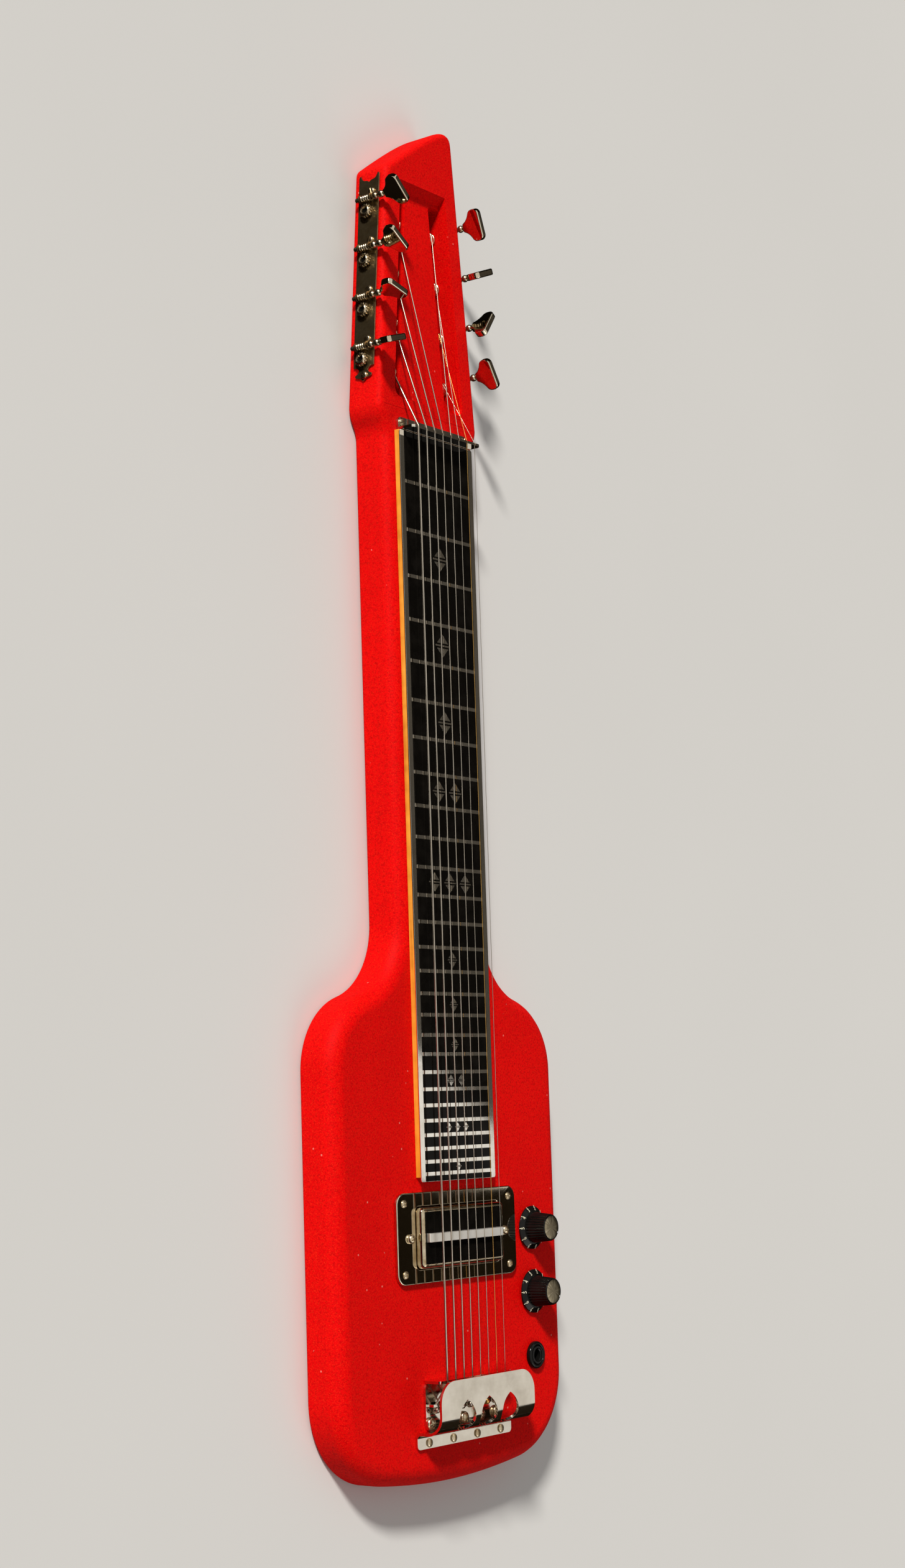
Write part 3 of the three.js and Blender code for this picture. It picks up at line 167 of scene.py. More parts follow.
def lathe(name, profile, steps=40):
    """A turned part: a profile of (radius, height) points, spun about the upright axis."""
    piece = added(name, bpy.ops.mesh.primitive_circle_add, vertices=len(profile), fill_type="NOTHING")
    for vertex, (radius, height) in zip(piece.data.vertices, profile):
        vertex.co = (radius * mm, 0, height * mm)
    return edit(
        piece,
        lambda: bpy.ops.mesh.spin(steps=steps, angle=turn, center=(0, 0, 0), axis=(0, 0, 1)),
        lambda: bpy.ops.mesh.remove_doubles(threshold=0.002 * mm),
        lambda: bpy.ops.mesh.delete_loose(),
        outwards,
    )


# %% Cutting, rounding, joining and placing
def applied(piece):
    """Apply every modifier of a piece."""
    alone(piece)
    for modifier in list(piece.modifiers):
        bpy.ops.object.modifier_apply(modifier=modifier.name)
    return piece


def carve(piece, *tools, operation="DIFFERENCE"):
    """Cut with each tool in turn, and throw the tool away."""
    for tool in tools:
        modifier = piece.modifiers.new("cut", "BOOLEAN")
        modifier.operation = operation
        modifier.solver = "EXACT"
        modifier.object = tool
        applied(piece)
        bpy.data.objects.remove(tool)
    return piece


def soften(piece, width, segments=2, angle=40):
    """Round every edge that is sharper than the angle, and let broad faces rule the shading."""
    modifier = piece.modifiers.new("soft edges", "BEVEL")
    modifier.width = width * mm
    modifier.segments = segments
    modifier.limit_method = "ANGLE"
    modifier.angle_limit = math.radians(angle)
    applied(piece)
    smoothed(piece)
    shading = piece.modifiers.new("even shading", "WEIGHTED_NORMAL")
    shading.keep_sharp = True
    return applied(piece)


def smoothed(piece, angle=35):
    """Shade smoothly, apart from edges that are sharper than the angle."""
    alone(piece)
    bpy.ops.object.shade_smooth_by_angle(angle=math.radians(angle))
    return piece


def joined(name, pieces):
    """Make one object of several."""
    bpy.ops.object.select_all(action="DESELECT")
    for piece in pieces:
        piece.select_set(True)
    bpy.context.view_layer.objects.active = pieces[0]
    bpy.ops.object.join()
    return named(name)


def moved(piece, place):
    """Turn and move the mesh itself by a matrix."""
    piece.data.transform(place)
    return piece


def put(piece, x=0, y=0, z=0, spin=0):
    """Turn a mesh about the upright axis and move it by millimetres."""
    place = Matrix.Translation((x * mm, y * mm, z * mm))
    return moved(piece, place @ Matrix.Rotation(spin, 4, "Z"))


def twin(piece, name):
    """A copy with its own mesh."""
    copy = piece.copy()
    copy.data = piece.data.copy()
    copy.name = name
    copy.data.name = name
    bpy.context.scene.collection.objects.link(copy)
    return copy


# %% Outlines
def arc(x, y, radius, start, end, steps):
    """Points on an arc, both ends included."""
    angles = [start + (end - start) * i / steps for i in range(steps + 1)]
    return [(x + radius * math.cos(a), y + radius * math.sin(a)) for a in angles]


def rounded(half_x, half_y, radius, x=0, y=0, steps=8):
    """A rectangle with round corners."""
    points = []
    for k, (sx, sy) in enumerate([(1, -1), (1, 1), (-1, 1), (-1, -1)]):
        corner = (x + sx * (half_x - radius), y + sy * (half_y - radius))
        points += arc(*corner, radius, quarter * (k - 1), quarter * k, steps)
    return points


def bent(start, pull, end, steps):
    """Points on a curve from start to end that is pulled towards a third point."""
    points = []
    for i in range(steps + 1):
        t = i / steps
        weights = ((1 - t) ** 2, 2 * t * (1 - t), t * t)
        points.append(tuple(sum(w * p[n] for w, p in zip(weights, (start, pull, end))) for n in (0, 1)))
    return points


def rod(radius, low, high, x=0, y=0):
    """A round cutter."""
    size = {"radius": radius * mm, "depth": (high - low) * mm}
    piece = added("rod", bpy.ops.mesh.primitive_cylinder_add, vertices=32, **size)
    return put(piece, x, y, (low + high) / 2)


# %% [markdown]
# ## Helpers for finishes
#
# A finish is a small recipe of nodes. Typing out every node makes the recipe hard to read, so one
# class wraps a socket and lets it be used in sums, and one method makes any other node. All
# patterns read Object coordinates, in metres, so they stay on the piece from every side.

# %% Sums of sockets
class Wire:
    """The output of a node, which can stand in a sum."""

    def __init__(self, recipe, socket):
        self.recipe = recipe
        self.socket = socket

    def maths(self, operation, *values):
        return self.recipe.node("Math", dict(enumerate(values)), operation=operation)

    def __add__(self, other):
        return self.maths("ADD", self, other)

    def __mul__(self, other):
        return self.maths("MULTIPLY", self, other)

    def __gt__(self, other):
        return self.maths("GREATER_THAN", self, other)

    __radd__ = __add__
    __rmul__ = __mul__


# %% Recipes
class Recipe:
    """One material while it is being made."""

    def __init__(self, name):
        self.material = bpy.data.materials.new(name)
        self.material.use_nodes = True
        self.tree = self.material.node_tree
        self.tree.nodes.clear()
        self.place = self.node("TexCoord", output="Object")

    def node(self, kind, inputs=(), output=0, stops=(), **settings):
        """Make a node: settings first, then the values or links of its sockets."""
        made = self.tree.nodes.new("ShaderNode" + kind)
        for name, value in settings.items():
            setattr(made, name, value)
        for i, (position, colour) in enumerate(stops):
            elements = made.color_ramp.elements
            element = elements[i] if i < 2 else elements.new(position)
            element.position = position
            element.color = (*colour, 1) if len(colour) == 3 else colour
        for name, value in dict(inputs).items():
            if isinstance(value, Wire):
                self.tree.links.new(value.socket, made.inputs[name])
            else:
                made.inputs[name].default_value = value
        return Wire(self, made.outputs[output])

    def stretched(self, x, y, z):
        """The piece's own coordinates, stretched along each axis."""
        return self.node("Mapping", {"Vector": self.place, "Scale": (x, y, z)})

    def noise(self, scale, detail=3, roughness=0.5, vector=None):
        inputs = {"Vector": vector or self.place, "Scale": scale, "Detail": detail}
        return self.node("TexNoise", {**inputs, "Roughness": roughness})

    def ramp(self, value, *stops):
        return self.node("ValToRGB", {"Fac": value}, stops=stops)

    def grey(self, value, low, high, dark=0, light=1):
        """Stretch the part of a value between low and high over dark to light."""
        inputs = {"Value": value, "From Min": low, "From Max": high, "To Min": dark, "To Max": light}
        return self.node("MapRange", inputs)

    def mixed(self, share, first, second):
        inputs = {0: share, 6: self.colour(first), 7: self.colour(second)}
        return self.node("Mix", inputs, output=2, data_type="RGBA")

    def colour(self, value):
        return value if isinstance(value, Wire) else (*value, 1)

    def bump(self, height, depth, strength=1):
        """A bump of a given depth in millimetres."""
        return self.node("Bump", {"Height": height, "Distance": depth * mm, "Strength": strength})

    def finish(self, base, roughness, **sockets):
        """The last node: one surface shader."""
        inputs = {"Base Color": self.colour(base), "Roughness": roughness}
        for name, value in sockets.items():
            inputs[name.replace("_", " ").title().replace("Ior", "IOR")] = value
        surface = self.node("BsdfPrincipled", inputs)
        out = self.tree.nodes.new("ShaderNodeOutputMaterial")
        self.tree.links.new(surface.socket, out.inputs["Surface"])
        return self.material


# %% [markdown]
# ## Finishes
#
# **Red paint.** The body is covered with a wrinkled, hard red paint, like that of an old cash box.
# Its skin is a fine web of creases about a millimetre across. Two noises of different size make
# the creases through a bump, and a few pale specks are dust caught in the paint. The hollows of
# the creases are painted darker, as painted shade, and the tops of the finest grain are painted
# a lighter orange, as a painted highlight.

# %% Red paint
def red_paint():
    recipe = Recipe("red_paint")
    cloud = recipe.noise(14, 4)
    creases = recipe.noise(780, 4, 0.62)
    grain = recipe.noise(1900, 2)
    base = recipe.mixed(recipe.grey(cloud, 0.3, 0.7), (0.66, 0.0006, 0.0012), (0.76, 0.0012, 0.0014))
    # Painted shade: the hollows of the creases, where the crease noise is low, are made darker.
    crease_shade = recipe.grey(creases, 0.36, 0.52)
    base = recipe.mixed(crease_shade, (0.50, 0.0003, 0.0008), base)
    # Painted highlight: the tops of the fine grain, which also raise the bump, are made a lighter orange.
    base = recipe.mixed(recipe.grey(grain, 0.56, 0.68) * 0.5, base, (0.88, 0.035, 0.006))
    cells = recipe.node("TexVoronoi", {"Vector": recipe.place, "Scale": 150, "Randomness": 1})
    lonely = recipe.noise(47, 2)
    speck = recipe.grey(cells, 0.10, 0.07) * (lonely > 0.60)
    base = recipe.mixed(speck * 0.55, base, (0.85, 0.30, 0.24))
    height = creases + grain * 0.35
    rough = recipe.grey(grain + cloud * 0.4, 0.4, 1.0, 0.50, 0.66)
    normal = recipe.bump(height, 0.18, 0.8)
    return recipe.finish(base, rough, normal=normal, specular_ior_level=0.05)


# %% [markdown]
# **Amber wood.** The riser under the fingerboard is a strip of maple under old yellow lacquer.
# Long thin noise makes the grain, and a coat makes the lacquer.

# %% Amber wood
def amber_wood():
    recipe = Recipe("amber_wood")
    grain = recipe.noise(260, 5, 0.6, recipe.stretched(1, 0.045, 1))
    flame = recipe.noise(120, 3, 0.5, recipe.stretched(0.5, 1, 0.6))
    base = recipe.ramp(
        grain * 0.7 + flame * 0.3,
        (0.34, (0.50, 0.17, 0.012)), (0.52, (0.78, 0.33, 0.030)), (0.72, (0.90, 0.46, 0.060)),
    )
    rough = recipe.grey(grain, 0.3, 0.7, 0.30, 0.42)
    normal = recipe.bump(grain, 0.05, 0.5)
    return recipe.finish(base, rough, normal=normal, coat_weight=0.7, coat_roughness=0.12)


# %% [markdown]
# **Black enamel and black plastic.** Both are nearly black and very smooth. What tells them apart
# from a hole in the picture is the reflection, with a little dust and some fine scratches in it.

# %% Glossy blacks
def glossy_black(name, base, low, high, scratch_scale, shine):
    recipe = Recipe(name)
    dust = recipe.noise(90, 5, 0.6)
    scratches = recipe.noise(scratch_scale, 3, 0.6, recipe.stretched(1, 0.06, 1))
    shade = recipe.mixed(recipe.grey(dust, 0.45, 0.75), base, tuple(c * 2.2 for c in base))
    rough = recipe.grey(dust * 0.6 + scratches * 0.4, 0.35, 0.68, low, high)
    normal = recipe.bump(scratches, 0.006, 0.35)
    return recipe.finish(shade, rough, normal=normal, specular_ior_level=shine)


# %% [markdown]
# **Bright metals.** Chrome, nickel and string steel are the same shader at different colours and
# roughness. Polished metal has no colour of its own but its tint: it shows the room. So each gets
# faint smudges in its roughness. The worn nickel of the pickup and the old nickel of the tuner
# plates get brown tarnish as well, where polish never reached.

# %% Bright metals
def metal(name, base, tarnish, low, high, wear, brush, smudge):
    recipe = Recipe(name)
    smudges = recipe.noise(smudge, 5, 0.6)
    brushed = recipe.noise(900, 3, 0.6, recipe.stretched(*brush))
    age = recipe.grey(smudges, 0.5 - wear / 2, 0.86 - wear / 2)
    shade = recipe.mixed(age, base, tarnish)
    rough = recipe.grey(smudges * 0.7 + brushed * 0.3, 0.32, 0.66, low, high)
    normal = recipe.bump(brushed, 0.004, 0.3)
    return recipe.finish(shade, rough, metallic=1, normal=normal)


# %% [markdown]
# **Spun metal.** The cap on each knob was turned on a lathe, so its scratches run round its centre.
# A Gradient node set to Radial gives the angle about the knob; a noise on that angle alone is drawn
# out into fans of light, as on the real cap. The fans are painted into the colour, lighter and
# darker round the centre, as a painted sheen, and they vary the roughness as well.

# %% Spun metal
def spun_metal(name, x, y):
    recipe = Recipe(name)
    centred = recipe.node("Mapping", {"Vector": recipe.place, "Location": (-x * mm, -y * mm, 0)})
    angle = recipe.node("TexGradient", {"Vector": centred}, gradient_type="RADIAL")
    fan = recipe.node("CombineXYZ", {"X": angle})
    rays = recipe.noise(26, 4, 0.6, fan)
    dirt = recipe.noise(330, 4, 0.6)
    # Painted sheen: the fans make the colour lighter and darker round the centre of the cap.
    shade = recipe.mixed(recipe.grey(rays, 0.35, 0.65), (0.13, 0.10, 0.055), (0.50, 0.43, 0.30))
    shade = recipe.mixed(recipe.grey(dirt, 0.56, 0.74) * 0.7, shade, (0.08, 0.06, 0.035))
    rough = recipe.grey(rays + dirt * 0.3, 0.3, 0.9, 0.22, 0.40)
    return recipe.finish(shade, rough, metallic=1, normal=recipe.bump(dirt, 0.01, 0.4))


# %% [markdown]
# **Ivory paint.** The numerals on the knobs are filled with paint that has yellowed.

# %% Ivory paint
def ivory_paint():
    recipe = Recipe("ivory_paint")
    stain = recipe.noise(700, 4, 0.6)
    base = recipe.mixed(recipe.grey(stain, 0.35, 0.7), (0.82, 0.78, 0.62), (0.55, 0.48, 0.30))
    return recipe.finish(base, recipe.grey(stain, 0.3, 0.7, 0.4, 0.6), normal=recipe.bump(stain, 0.01, 0.4))


# %% [markdown]
# **Copper winding and cast zinc** are inside the guitar and hardly seen, but they are finished too.

# %% Hidden metals, and the list of finishes
def copper_wire():
    recipe = Recipe("copper_wire")
    turns = recipe.noise(1400, 2, 0.5, recipe.stretched(0.05, 1, 1))
    base = recipe.mixed(recipe.grey(turns, 0.35, 0.65), (0.20, 0.05, 0.02), (0.48, 0.16, 0.06))
    return recipe.finish(base, recipe.grey(turns, 0.3, 0.7, 0.3, 0.5), normal=recipe.bump(turns, 0.05))


even, crosswise, long_crosswise, lengthwise = (1, 1, 1), (0.05, 1, 1), (0.03, 1, 1), (1, 0.02, 1)
finishes = {
    "red_paint": red_paint(),
    "amber_wood": amber_wood(),
    "black_board": glossy_black("black_board", (0.0036, 0.0030, 0.0024), 0.05, 0.10, 500, 0.045),
    "black_plastic": glossy_black("black_plastic", (0.0042, 0.0040, 0.0037), 0.10, 0.20, 900, 0.16),
    "copper_wire": copper_wire(),
    "ivory": ivory_paint(),
}
# Name, clean colour, tarnished colour, least and most roughness, share of wear, stretch of the
# brushing, and how fine the smudges are.
metals = [
    ("chrome", (0.76, 0.70, 0.61), (0.60, 0.54, 0.45), 0.04, 0.13, 0.25, crosswise, 45),
    ("etched", (0.95, 0.91, 0.84), (0.78, 0.72, 0.62), 0.03, 0.07, 0.20, even, 70),
    ("polished", (0.68, 0.60, 0.47), (0.52, 0.43, 0.30), 0.015, 0.05, 0.20, even, 90),
    ("nickel", (0.68, 0.58, 0.42), (0.36, 0.26, 0.14), 0.20, 0.34, 0.30, even, 130),
    ("worn_nickel", (0.66, 0.57, 0.43), (0.40, 0.30, 0.17), 0.07, 0.17, 0.30, even, 150),
    ("old_nickel", (0.46, 0.36, 0.21), (0.18, 0.125, 0.06), 0.34, 0.48, 0.45, even, 110),
    ("brushed_steel", (0.95, 0.93, 0.89), (0.84, 0.80, 0.73), 0.38, 0.50, 0.30, long_crosswise, 45),
    ("steel", (0.50, 0.45, 0.38), (0.40, 0.35, 0.28), 0.28, 0.33, 0.30, lengthwise, 40),
    ("gold_steel", (0.72, 0.44, 0.14), (0.60, 0.34, 0.10), 0.28, 0.33, 0.30, lengthwise, 40),
    ("zinc", (0.42, 0.42, 0.41), (0.28, 0.27, 0.25), 0.35, 0.50, 0.40, even, 160),
]
for row in metals:
    finishes[row[0]] = metal(*row)
print("finishes:", ", ".join(finishes))


# %% [markdown]
# ## Settling a piece
#
# Each new piece gets its finish, the CAD body that it moves with and the CAD nodes that it stands
# for. A CAD node that keeps its own shape only gets a finish.

# %% Settle
def settle(piece, finish, body, slot, *replaced):
    """Give a new piece its finish, its body and the nodes that it replaces; the slot is not used."""
    piece.data.materials.clear()
    piece.data.materials.append(finishes[finish] if isinstance(finish, str) else finish)
    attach(piece, body)
    if replaced:
        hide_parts(*replaced)
    print(f"{piece.name}: {len(piece.data.polygons)} faces, on {body}")
    return piece


for part in frame["record"]["subparts"]:
    materials = nodes[part["node"]].data.materials
    materials.clear()
    materials.append(finishes[part["material_slot"]])
print("every CAD node has its finish")

# %% [markdown]
# ## Body
#
# The body, neck and head are one piece of wood, 25 mm thick. The outline is drawn as arcs: a bowed
# tail, round corners, long shoulders, a straight neck, a small step and a head whose end slopes.
# The upper edge is rounded generously at the body and less at the head. A Bevel modifier that is
# limited by weight does this: each edge carries its own share of the full width.

# %% Outline of the body
half_width, tail_corner, tail_bow = 111.4, 52, 500
neck_half, head_root, head_tip = 44.3, 50.2, 33
saddle_to_shoulder, shoulder_length, step_length = 181, 89, 20
shoulder = saddle + saddle_to_shoulder
neck_start = shoulder + shoulder_length
step_start = nut - 5
step_end = step_start + step_length
slope = (head_root - head_tip) / (tip - step_end)
lean = math.atan(slope)
tip_corner, tip_flat, slant, slant_corner = 8, 26, 38.5, 3


def head_half(y):
    """Half the width of the head at a place along it."""
    return head_root - (y - step_end) * slope


def double_bend(x0, y0, x1, y1, steps):
    """Two equal arcs from one straight side to another."""
    run, shift = y1 - y0, abs(x0 - x1)
    radius = (run * run + shift * shift) / (4 * shift)
    angle = 2 * math.atan(shift / run)
    sign, start = (1, 0) if x1 < x0 else (-1, math.pi)
    end = math.pi - start
    first = arc(x0 - sign * radius, y0, radius, start, start + sign * angle, steps)
    return first + arc(x1 + sign * radius, y1, radius, end + sign * angle, end, steps)[1:]


def treble_side():
    """From the middle of the tail up the treble side to the root of the head."""
    corner_x = half_width - tail_corner
    reach = tail_bow - tail_corner
    corner_y = tail + tail_bow - math.sqrt(reach**2 - corner_x**2)
    joint = math.atan2(corner_y - tail - tail_bow, corner_x)
    points = arc(0, tail + tail_bow, tail_bow, -quarter, joint, 16)
    points += arc(corner_x, corner_y, tail_corner, joint, 0, 24)[1:]
    points += double_bend(half_width, shoulder, neck_half, neck_start, 18)
    points += [(neck_half, neck_start + 30 * i) for i in range(1, 4)]
    return points + double_bend(neck_half, step_start, head_root, step_end, 6)


def head_end():
    """Round the sloping end of the head, from its treble corner to its bass corner."""
    low, left_y = tip - tip_corner, tip - slant
    bend = (15, tip - 0.5)
    corner = (-head_half(left_y), left_y)
    run = Vector(corner) - Vector(bend)
    bow_end = tuple(Vector(corner) - run.normalized() * slant_corner)
    below = left_y - slant_corner
    points = bent((head_half(low), low), (head_half(tip), tip), (tip_flat, tip), 8)
    points += bent((tip_flat, tip), bend, bow_end, 18)[1:]
    return points + bent(bow_end, corner, (-head_half(below), below), 6)[1:]


treble = treble_side()
bass = [(-x, y) for x, y in reversed(treble[1:])]
body_outline = treble + head_end() + bass
print("outline points:", len(body_outline))

# %% Rounded blank of the body
body_round, neck_round, head_round, lower_round = 11, 8, 4.5, 2.5
neck_blend = 60


def ease(share):
    """Go from 0 to 1 with a soft start and a soft end."""
    share = min(max(share, 0), 1)
    return share * share * (3 - 2 * share)


def upper_round(y):
    """The radius of the upper edge: widest on the body, less on the neck, least on the head."""
    if y < step_start:
        return body_round - (body_round - neck_round) * ease((y - neck_start) / neck_blend)
    return neck_round - (neck_round - head_round) * ease((y - step_start) / step_length)


body = plate("body_shell", body_outline, 0, body_top)
weights = body.data.attributes.new("bevel_weight_edge", "FLOAT", "EDGE")
for edge in body.data.edges:
    first, second = [body.data.vertices[i].co / mm for i in edge.vertices]
    if abs(first.z - second.z) < 1:
        width = upper_round((first.y + second.y) / 2) if first.z > 1 else lower_round
        weights.data[edge.index].value = width / body_round
rounding = body.modifiers.new("rounding", "BEVEL")
rounding.limit_method = "WEIGHT"
rounding.width = body_round * mm
rounding.segments = 7
rounding.use_clamp_overlap = False
applied(body)
print("rounded blank:", len(body.data.polygons), "faces")

# %% [markdown]
# The head has a sunk recess between two rails, and two slots for the string posts. The far end of
# the recess runs out in a ramp, so the tool for it is a plate whose upper end is drawn out.
# Pockets for the pickup and the controls are cut as well: nobody sees them, but the parts in them
# need the room.

# %% Tools for the cuts
rail, recess_depth, nut_to_recess, recess_length, ramp = 14.4, 5.5, 22, 136.7, 4.5
slot_width, slot_margin, recess_corner, slot_corner = 11.6, 2.5, 6, 3
recess_low = nut + nut_to_recess
recess_high = recess_low + recess_length
nut_to_post, tuner_pitch, post_end, bore_radius = 43.3, 32.4, 5.3, 3.4
tuner_z = {-1: middle("tuner_plate_bass").z, 1: middle("tuner_plate_treble").z}
over = 1  # how far a cutter reaches past the surface


def recess_tool():
    """A plate with two round corners, whose far end is drawn out into a ramp."""
    inner = head_half(recess_low + recess_corner) - rail - recess_corner
    end = head_half(recess_high) - rail
    corner_y = recess_low + recess_corner
    outline = arc(inner, corner_y, recess_corner, -quarter, 0, 8)
    outline += [(end, recess_high), (-end, recess_high)]
    outline += arc(-inner, corner_y, recess_corner, math.pi, math.pi + quarter, 8)
    tool = plate("recess", outline, body_top - recess_depth, body_top + over)
    for vertex in tool.data.vertices:
        if vertex.co.z > body_top * mm and vertex.co.y > (recess_high - 1) * mm:
            vertex.co.y += ramp * (1 + over / recess_depth) * mm
    return tool


def slot_tool(side):
    """A slot right through the head, along the inner side of a rail."""
    low, high = recess_low + slot_margin + slot_corner, recess_high - slot_margin - slot_corner
    outer = {y: head_half(y) - rail - slot_corner for y in (low, high)}
    inner = {y: head_half(y) - rail - slot_width + slot_corner for y in (low, high)}
    points = arc(inner[low], low, slot_corner, math.pi, math.pi + quarter, 6)
    points += arc(outer[low], low, slot_corner, -quarter, 0, 6)
    points += arc(outer[high], high, slot_corner, 0, quarter, 6)
    points += arc(inner[high], high, slot_corner, quarter, math.pi, 6)
    return plate("slot", [(side * x, y) for x, y in points], -over, body_top - recess_depth + 2.8)


def side_frame(side, along):
    """A frame on the side of the head, whose x points out of it, at a distance along the side."""
    y = nut + nut_to_post + along * math.cos(lean)
    spin = lean if side > 0 else math.pi - lean
    place = Vector((side * head_half(y), y, tuner_z[side])) * mm
    return Matrix.Translation(place) @ Matrix.Rotation(spin, 4, "Z")


lay_down = Matrix.Rotation(quarter, 4, "Y")


def bore_tool(side, k):
    """The bore for a post, through the rail and across the slot."""
    tool = rod(bore_radius, -(rail + slot_width + post_end), over)
    return moved(tool, side_frame(side, k * tuner_pitch) @ lay_down)


# %% Cut the body
pickup_y = middle("pickup_ring").y
pickup_half_x, pickup_half_y = 40.8, 17.7
knob_places = [middle("knob_1"), middle("knob_2")]
knob_bore, jack_bore = 5, 5.9
jack_place = middle("jack_nut")
lid_place = middle("control_cavity_cover")
lid_low, lid_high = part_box("control_cavity_cover")
lid_half = (lid_high - lid_low) / 2 / mm
lid_corner, lid_ledge, rebate, face_wall = 8, 3.7, 1.7, 3.6


def pickup_outline(extra, radius):
    """The outline of the pickup, larger or smaller all round."""
    return rounded(pickup_half_x + extra, pickup_half_y + extra, radius, 0, pickup_y)


def lid_outline(extra):
    """The outline of the cover on the back, larger or smaller all round."""
    return rounded(lid_half.x + extra, lid_half.y + extra, lid_corner, lid_place.x, lid_place.y)


tools = [recess_tool(), slot_tool(-1), slot_tool(1)]
tools += [bore_tool(side, k) for side in (-1, 1) for k in range(4)]
tools.append(plate("pocket", pickup_outline(1, 3), 4.2, body_top + over))
tools.append(plate("ears", rounded(51.8, 7, 1, 0, pickup_y), 4.3, body_top + 0.9))
tools.append(plate("cavity", lid_outline(-lid_ledge), -over, body_top - face_wall))
tools.append(plate("rebate", lid_outline(fit), -0.9, rebate))
tools += [rod(knob_bore, 0, body_top + over, place.x, place.y) for place in knob_places]
tools.append(rod(jack_bore, 0, body_top + over, jack_place.x, jack_place.y))
carve(body, *tools)
soften(body, 0.7, 2, 25)
settle(body, "red_paint", "guitar", "red_paint", "body")

# %% [markdown]
# ## Fingerboard
#
# The board is a thin polished metal plate. Black enamel fills it between the fret lines, so the
# lines, the borders and the marks are bare metal. On the real plate they are etched; here each
# layer lies a few hundredths of a millimetre above the last, which catches the light like an
# etched edge. Fret n lies where the string is shortened by the twelfth root of two, n times.

# %% Plate, enamel and fret lines
plate_low, plate_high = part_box("fingerboard_plate")
board_y = (plate_low.y + plate_high.y) / 2 / mm
board_half = (plate_high.y - plate_low.y) / 2 / mm
plate_half, enamel_half, fret_half = 37, 32.85, 1.1
layer = 0.05

outline = rounded(plate_half, board_half, 1.5, 0, board_y)
board = plate("board_plate", outline, board_top - 0.8, board_top - 2 * layer)
settle(soften(board, 0.15), "etched", "guitar", "chrome", "fingerboard_plate")

outline = rounded(enamel_half, board_half - 0.2, 0.4, 0, board_y)
enamel = plate("board_enamel", outline, board_top - 2.2 * layer, board_top - layer)
settle(soften(enamel, 0.02), "black_board", "guitar", "black_board")


def fret_y(number):
    """Where a fret lies along the string."""
    return nut - string_length * (1 - 2 ** (-number / 12))


def fret_line(number):
    outline = rounded(enamel_half, fret_half, 0.05, 0, fret_y(number), 1)
    return plate("fret", outline, board_top - 1.2 * layer, board_top)


frets = joined("fret_lines", [fret_line(number) for number in range(1, 28)])
settle(soften(frets, 0.015, 1), "etched", "guitar", "chrome")
print("last fret at", round(fret_y(27), 1), "mm")

# %% Diamond marks
marks = {
    3: (1, 14.4, 0), 5: (1, 14.4, 0), 7: (1, 13.9, 0), 9: (2, 12.8, 16.2), 12: (3, 11.6, 15.4),
    15: (1, 9.4, 0), 17: (1, 8.2, 0), 19: (1, 7.6, 0), 21: (2, 6.8, 10.4), 24: (3, 5.2, 8.4), 27: (1, 5, 0),
}


def diamond(size, x, y):
    """A diamond with two dark lines across it: two triangles and a narrow bar."""
    half = size / 2
    gap, bar = 0.22 * half, 0.07 * half
    flat = half - gap
    shapes = [
        [(-flat, gap), (flat, gap), (0, half)],
        [(0, -half), (flat, -gap), (-flat, -gap)],
        [
            (-half + bar, -bar), (half - bar, -bar), (half, 0),
            (half - bar, bar), (bar - half, bar), (-half, 0),
        ],
    ]
    return [
        plate("mark", [(x + a, y + b) for a, b in shape], board_top - 1.2 * layer, board_top)
        for shape in shapes
    ]


pieces = []
for number, (count, size, pitch) in marks.items():
    y = (fret_y(number) + fret_y(number - 1)) / 2
    for k in range(count):
        pieces += diamond(size, (k - (count - 1) / 2) * pitch, y)
settle(soften(joined("board_marks", pieces), 0.012, 1), "etched", "guitar", "chrome")

# %% [markdown]
# ## Nut
#
# The nut is a bent metal angle. Its upright wall carries the strings in eight notches, and its foot
# is screwed to the body. The wall is a plate drawn lying down and then stood up.

# %% Nut
diameters = [1.3, 1.07, 0.91, 0.76, 0.61, 0.46, 0.38, 0.33]
string_pitch = 8.25
sheet = 1.6  # the thickness of the metal of the nut and the bridge
nut_half, foot_half, nut_corner = 35, 4.25, 3
stand_up = Matrix.Rotation(quarter, 4, "X")


def string_x(index):
    """Where a string lies across the guitar, counted from the bass side."""
    return (index - 3.5) * string_pitch


def upright(name, outline, y_front, y_rear):
    """A plate whose outline lists x and z, standing between two places along the guitar."""
    return moved(plate(name, outline, -y_rear, -y_front), stand_up)


def notch_tools(y_from, y_to, bottom):
    """Round-bottomed notches for all the strings."""
    tools = []
    for index, diameter in enumerate(diameters):
        radius = diameter / 2 + 0.12
        x = string_x(index)
        outline = arc(x, bottom, radius, math.pi, turn, 8)
        outline += [(x + radius, bottom + 8), (x - radius, bottom + 8)]
        tools.append(upright("notch", outline, y_from, y_to))
    return tools


centre_x, centre_z = nut_half - nut_corner, string_z + 0.5 - nut_corner
outline = [(nut_half, seat)] + arc(centre_x, centre_z, nut_corner, 0, quarter, 8)
outline += arc(-centre_x, centre_z, nut_corner, quarter, math.pi, 8) + [(-nut_half, seat)]
nut_wall = upright("nut_angle", outline, nut, nut + sheet)
outline = rounded(nut_half, foot_half, nut_corner, 0, nut + foot_half)
foot = plate("foot", outline, seat, seat + sheet)
carve(nut_wall, foot, operation="UNION")
carve(nut_wall, *notch_tools(nut - 1, nut + 3, string_z))
settle(soften(nut_wall, 0.3, 3), "chrome", "guitar", "chrome", "nut")

# %% [markdown]
# ## Screws
#
# All the screws are domes with a slot or a cross. One is turned on the lathe, cut and rounded, and
# the others are copies of it, each with its own mesh. The heads are turned a little differently,
# because no fitter stops all the slots at the same angle.

